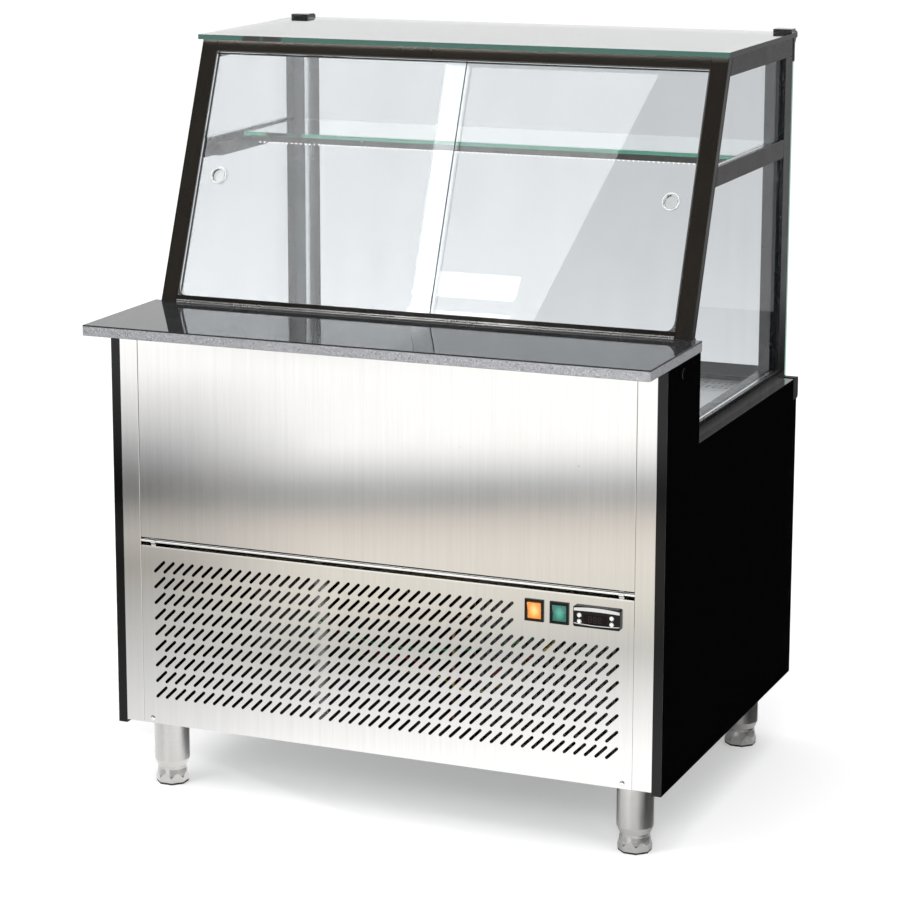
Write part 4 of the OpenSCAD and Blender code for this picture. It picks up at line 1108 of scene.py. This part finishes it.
def make_world(white, fill):
    """White to the eye; in reflections bright behind the case near the horizon and dim overhead."""
    world = bpy.data.worlds.new("studio_world")
    bpy.context.scene.world = world
    world.use_nodes = True
    w = Wiring(world.node_tree)
    background = world.node_tree.nodes["Background"]
    background.inputs["Color"].default_value = (1, 1, 1, 1)
    direction = w.split(w.add("TexCoord").outputs["Generated"])
    horizon = w.span(direction[1], -0.2, 0.4, 0.25, 1.0)
    mirrored = w.span(direction[2], 0.24, 0.42, horizon, 0.1)
    glossy = w.add("LightPath").outputs["Is Glossy Ray"]
    unseen = w.mix(glossy, (fill, fill, fill), mirrored)
    w.link(w.mix(seen_directly(w), unseen, (white, white, white)), background.inputs["Color"])
    background.inputs["Strength"].default_value = 1.0


def card(name, corner, across, upward, tone, stops=None, far_stops=None):
    """A card seen only in reflections, of one tone or of runs of tones along its second side.

    The second run of tones takes over left of the middle of the first side.
    """
    data = bpy.data.meshes.new(name)
    corner, across, upward = Vector(corner), Vector(across), Vector(upward)
    points = [corner, corner + across, corner + across + upward, corner + upward]
    data.from_pydata([tuple(p) for p in points], [], [(0, 1, 2, 3)])
    material = bpy.data.materials.new(name)
    material.use_nodes = True
    material.node_tree.nodes.clear()
    w = Wiring(material.node_tree)
    glow = w.add("Emission")
    output = w.add("OutputMaterial")
    if stops:
        along = w.vector("DOT_PRODUCT", w.vector("SUBTRACT", w.place(), corner), upward)
        share = w.math("DIVIDE", along, upward.length_squared)
        sideways = w.vector("DOT_PRODUCT", w.vector("SUBTRACT", w.place(), corner), across)
        reach = across.length_squared
        left = w.span(sideways, reach * 0.49, reach * 0.445, 0.0, 1.0, smooth=True)
        w.link(w.mix(left, w.ramp(share, *stops), w.ramp(share, *far_stops)), glow.inputs["Color"])
    glow.inputs["Strength"].default_value = tone
    w.link(glow.outputs[0], output.inputs["Surface"])
    data.materials.append(material)
    piece = bpy.data.objects.new(name, data)
    bpy.context.scene.collection.objects.link(piece)
    piece.visible_camera = False
    piece.visible_diffuse = False
    piece.visible_transmission = False
    piece.visible_shadow = False


def make_cards():
    """Cards seen only in reflections: a run of tones before the front, and flags and strips beside it."""
    turn = math.radians(25)
    across = Vector((math.cos(turn), -math.sin(turn), 0))
    away = Vector((-math.sin(turn), -math.cos(turn), 0))
    reach = 5.0
    start = Vector((0, FRONT_LINE, 0.004)) - 4 * across
    tones = ((0.3, 1.4), (0.6, 1.08), (0.92, (0.74, 0.73, 0.7)), (1.3, (0.96, 0.92, 0.83)),
             (1.6, (1.0, 0.94, 0.87)), (1.75, (0.95, 0.88, 0.81)), (1.9, (0.82, 0.75, 0.7)),
             (2.06, (0.48, 0.48, 0.47)), (2.2, (0.52, 0.53, 0.54)),
             (2.42, 1.03), (2.65, 1.4), (3.7, 1.4), (4.0, 0.7))
    left_tones = ((0.3, 1.1), (0.95, 0.75), (1.55, (0.45, 0.43, 0.4)), (1.8, (0.6, 0.57, 0.54)),
                  (2.0, (0.42, 0.4, 0.38)), (2.16, 0.18), (2.3, 0.2), (2.5, (0.33, 0.33, 0.35)),
                  (2.7, (0.52, 0.53, 0.55)), (2.9, 0.74), (3.3, 1.05), (3.6, 1.35))
    card("front_card", start, 8 * across, reach * away, 1.0,
         [(at / reach, tone) for at, tone in tones], [(at / reach, tone) for at, tone in left_tones])
    card("side_flag", (CAD_BOX[1][0] + 0.01, CAD_BOX[0][1], 0.004), (3.2, 0, 0), (0, 4.6, 0), 0.004)
    card("strip_box", (-2.0, FRONT_LINE - 2.7, 0.16), (1.85, -0.75, 0), (0, 0, 1.2), 1.7)
    for height in (2.84, 2.98):
        card(f"window_box_{height}", (-1.66, FRONT_LINE - 3.15, height), (0.32, 0, 0), (0, 0, 0.09), 7.0)


def make_lights(power):
    def soft(name, place, target, size, watts):
        lamp = bpy.data.lights.new(name, "AREA")
        lamp.shape = "RECTANGLE"
        lamp.size, lamp.size_y = size
        lamp.energy = watts
        holder = bpy.data.objects.new(name, lamp)
        bpy.context.scene.collection.objects.link(holder)
        holder.location = place
        holder.rotation_euler = (Vector(target) - Vector(place)).to_track_quat("-Z", "Y").to_euler()
        holder.visible_glossy = False
    middle = (Vector(CAD_BOX[0]) + Vector(CAD_BOX[1])) / 2
    soft("key_light", (-2.2, -2.6, 3.2), middle, (2.6, 2.0), power)
    soft("top_light", (0.2, 0.2, 3.6), middle, (3.2, 3.2), power * 0.8)
    soft("side_light", (3.2, -1.2, 2.2), middle, (1.6, 2.2), power * 0.3)
    soft("edge_light", (0.75, -1.5, 0.85), (0.3, CAD_BOX[0][1], 0.77), (0.4, 0.3), power * 0.09)


CAMERA_PLACE = (1.7650, -4.3450, 1.6264)
CAMERA_ANGLES = (24.58, 11.96, -0.39)  # turn, downward tilt and roll, in degrees
CAMERA_SHIFT = (0.1352, -0.0635)


def make_camera(focal):
    data = bpy.data.cameras.new("studio_camera")
    camera = bpy.data.objects.new("studio_camera", data)
    bpy.context.scene.collection.objects.link(camera)
    data.sensor_width = 36
    data.lens = focal
    data.shift_x, data.shift_y = CAMERA_SHIFT
    data.clip_end = 100
    turn, lift, roll = (math.radians(a) for a in CAMERA_ANGLES)
    look = Vector((-math.sin(turn) * math.cos(lift), math.cos(turn) * math.cos(lift), -math.sin(lift)))
    right = look.cross(UP).normalized()
    top = right.cross(look)
    level_right = math.cos(roll) * right + math.sin(roll) * top
    level_top = -math.sin(roll) * right + math.cos(roll) * top
    turned = Matrix((level_right, level_top, -look)).transposed().to_4x4()
    camera.matrix_world = Matrix.Translation(CAMERA_PLACE) @ turned
    bpy.context.scene.camera = camera


STEPS = (
    DELI_OT_node_groups, DELI_OT_steel, DELI_OT_panels, DELI_OT_worktop, DELI_OT_frames, DELI_OT_glass,
    DELI_OT_controls, DELI_OT_cooling, DELI_OT_glass_border, DELI_OT_opening_lips, DELI_OT_panel_fold,
    DELI_OT_shelf_lamps, DELI_OT_thermostat_trim, DELI_OT_pull_rings, DELI_OT_wires, DELI_OT_stage,
)


class DELI_PT_case(bpy.types.Panel):
    """Lists the steps that finish the deli case"""

    bl_label = "Deli Case"
    bl_idname = "DELI_PT_case"
    bl_space_type = "VIEW_3D"
    bl_region_type = "UI"
    bl_category = "Deli Case"

    def draw(self, context):
        for group in SETTINGS:
            box = self.layout.box()
            owner = getattr(context.scene, "deli_" + group)
            for label in SETTINGS[group].__annotations__:
                box.prop(owner, label)
        for step in STEPS:
            self.layout.operator(step.bl_idname)


SETTINGS = {"steel": SteelSettings, "panel": PanelSettings, "glass": GlassSettings, "lamps": LampSettings,
            "studio": StudioSettings}


def register():
    for kind in (*SETTINGS.values(), *STEPS, DELI_PT_case):
        bpy.utils.register_class(kind)
    for name, kind in SETTINGS.items():
        setattr(bpy.types.Scene, "deli_" + name, bpy.props.PointerProperty(type=kind))


def unregister():
    for name in SETTINGS:
        delattr(bpy.types.Scene, "deli_" + name)
    for kind in reversed((*SETTINGS.values(), *STEPS, DELI_PT_case)):
        bpy.utils.unregister_class(kind)


def main():
    register()
    for step in STEPS:
        group, name = step.bl_idname.split(".")
        getattr(getattr(bpy.ops, group), name)()


if __name__ == "__main__":
    main()
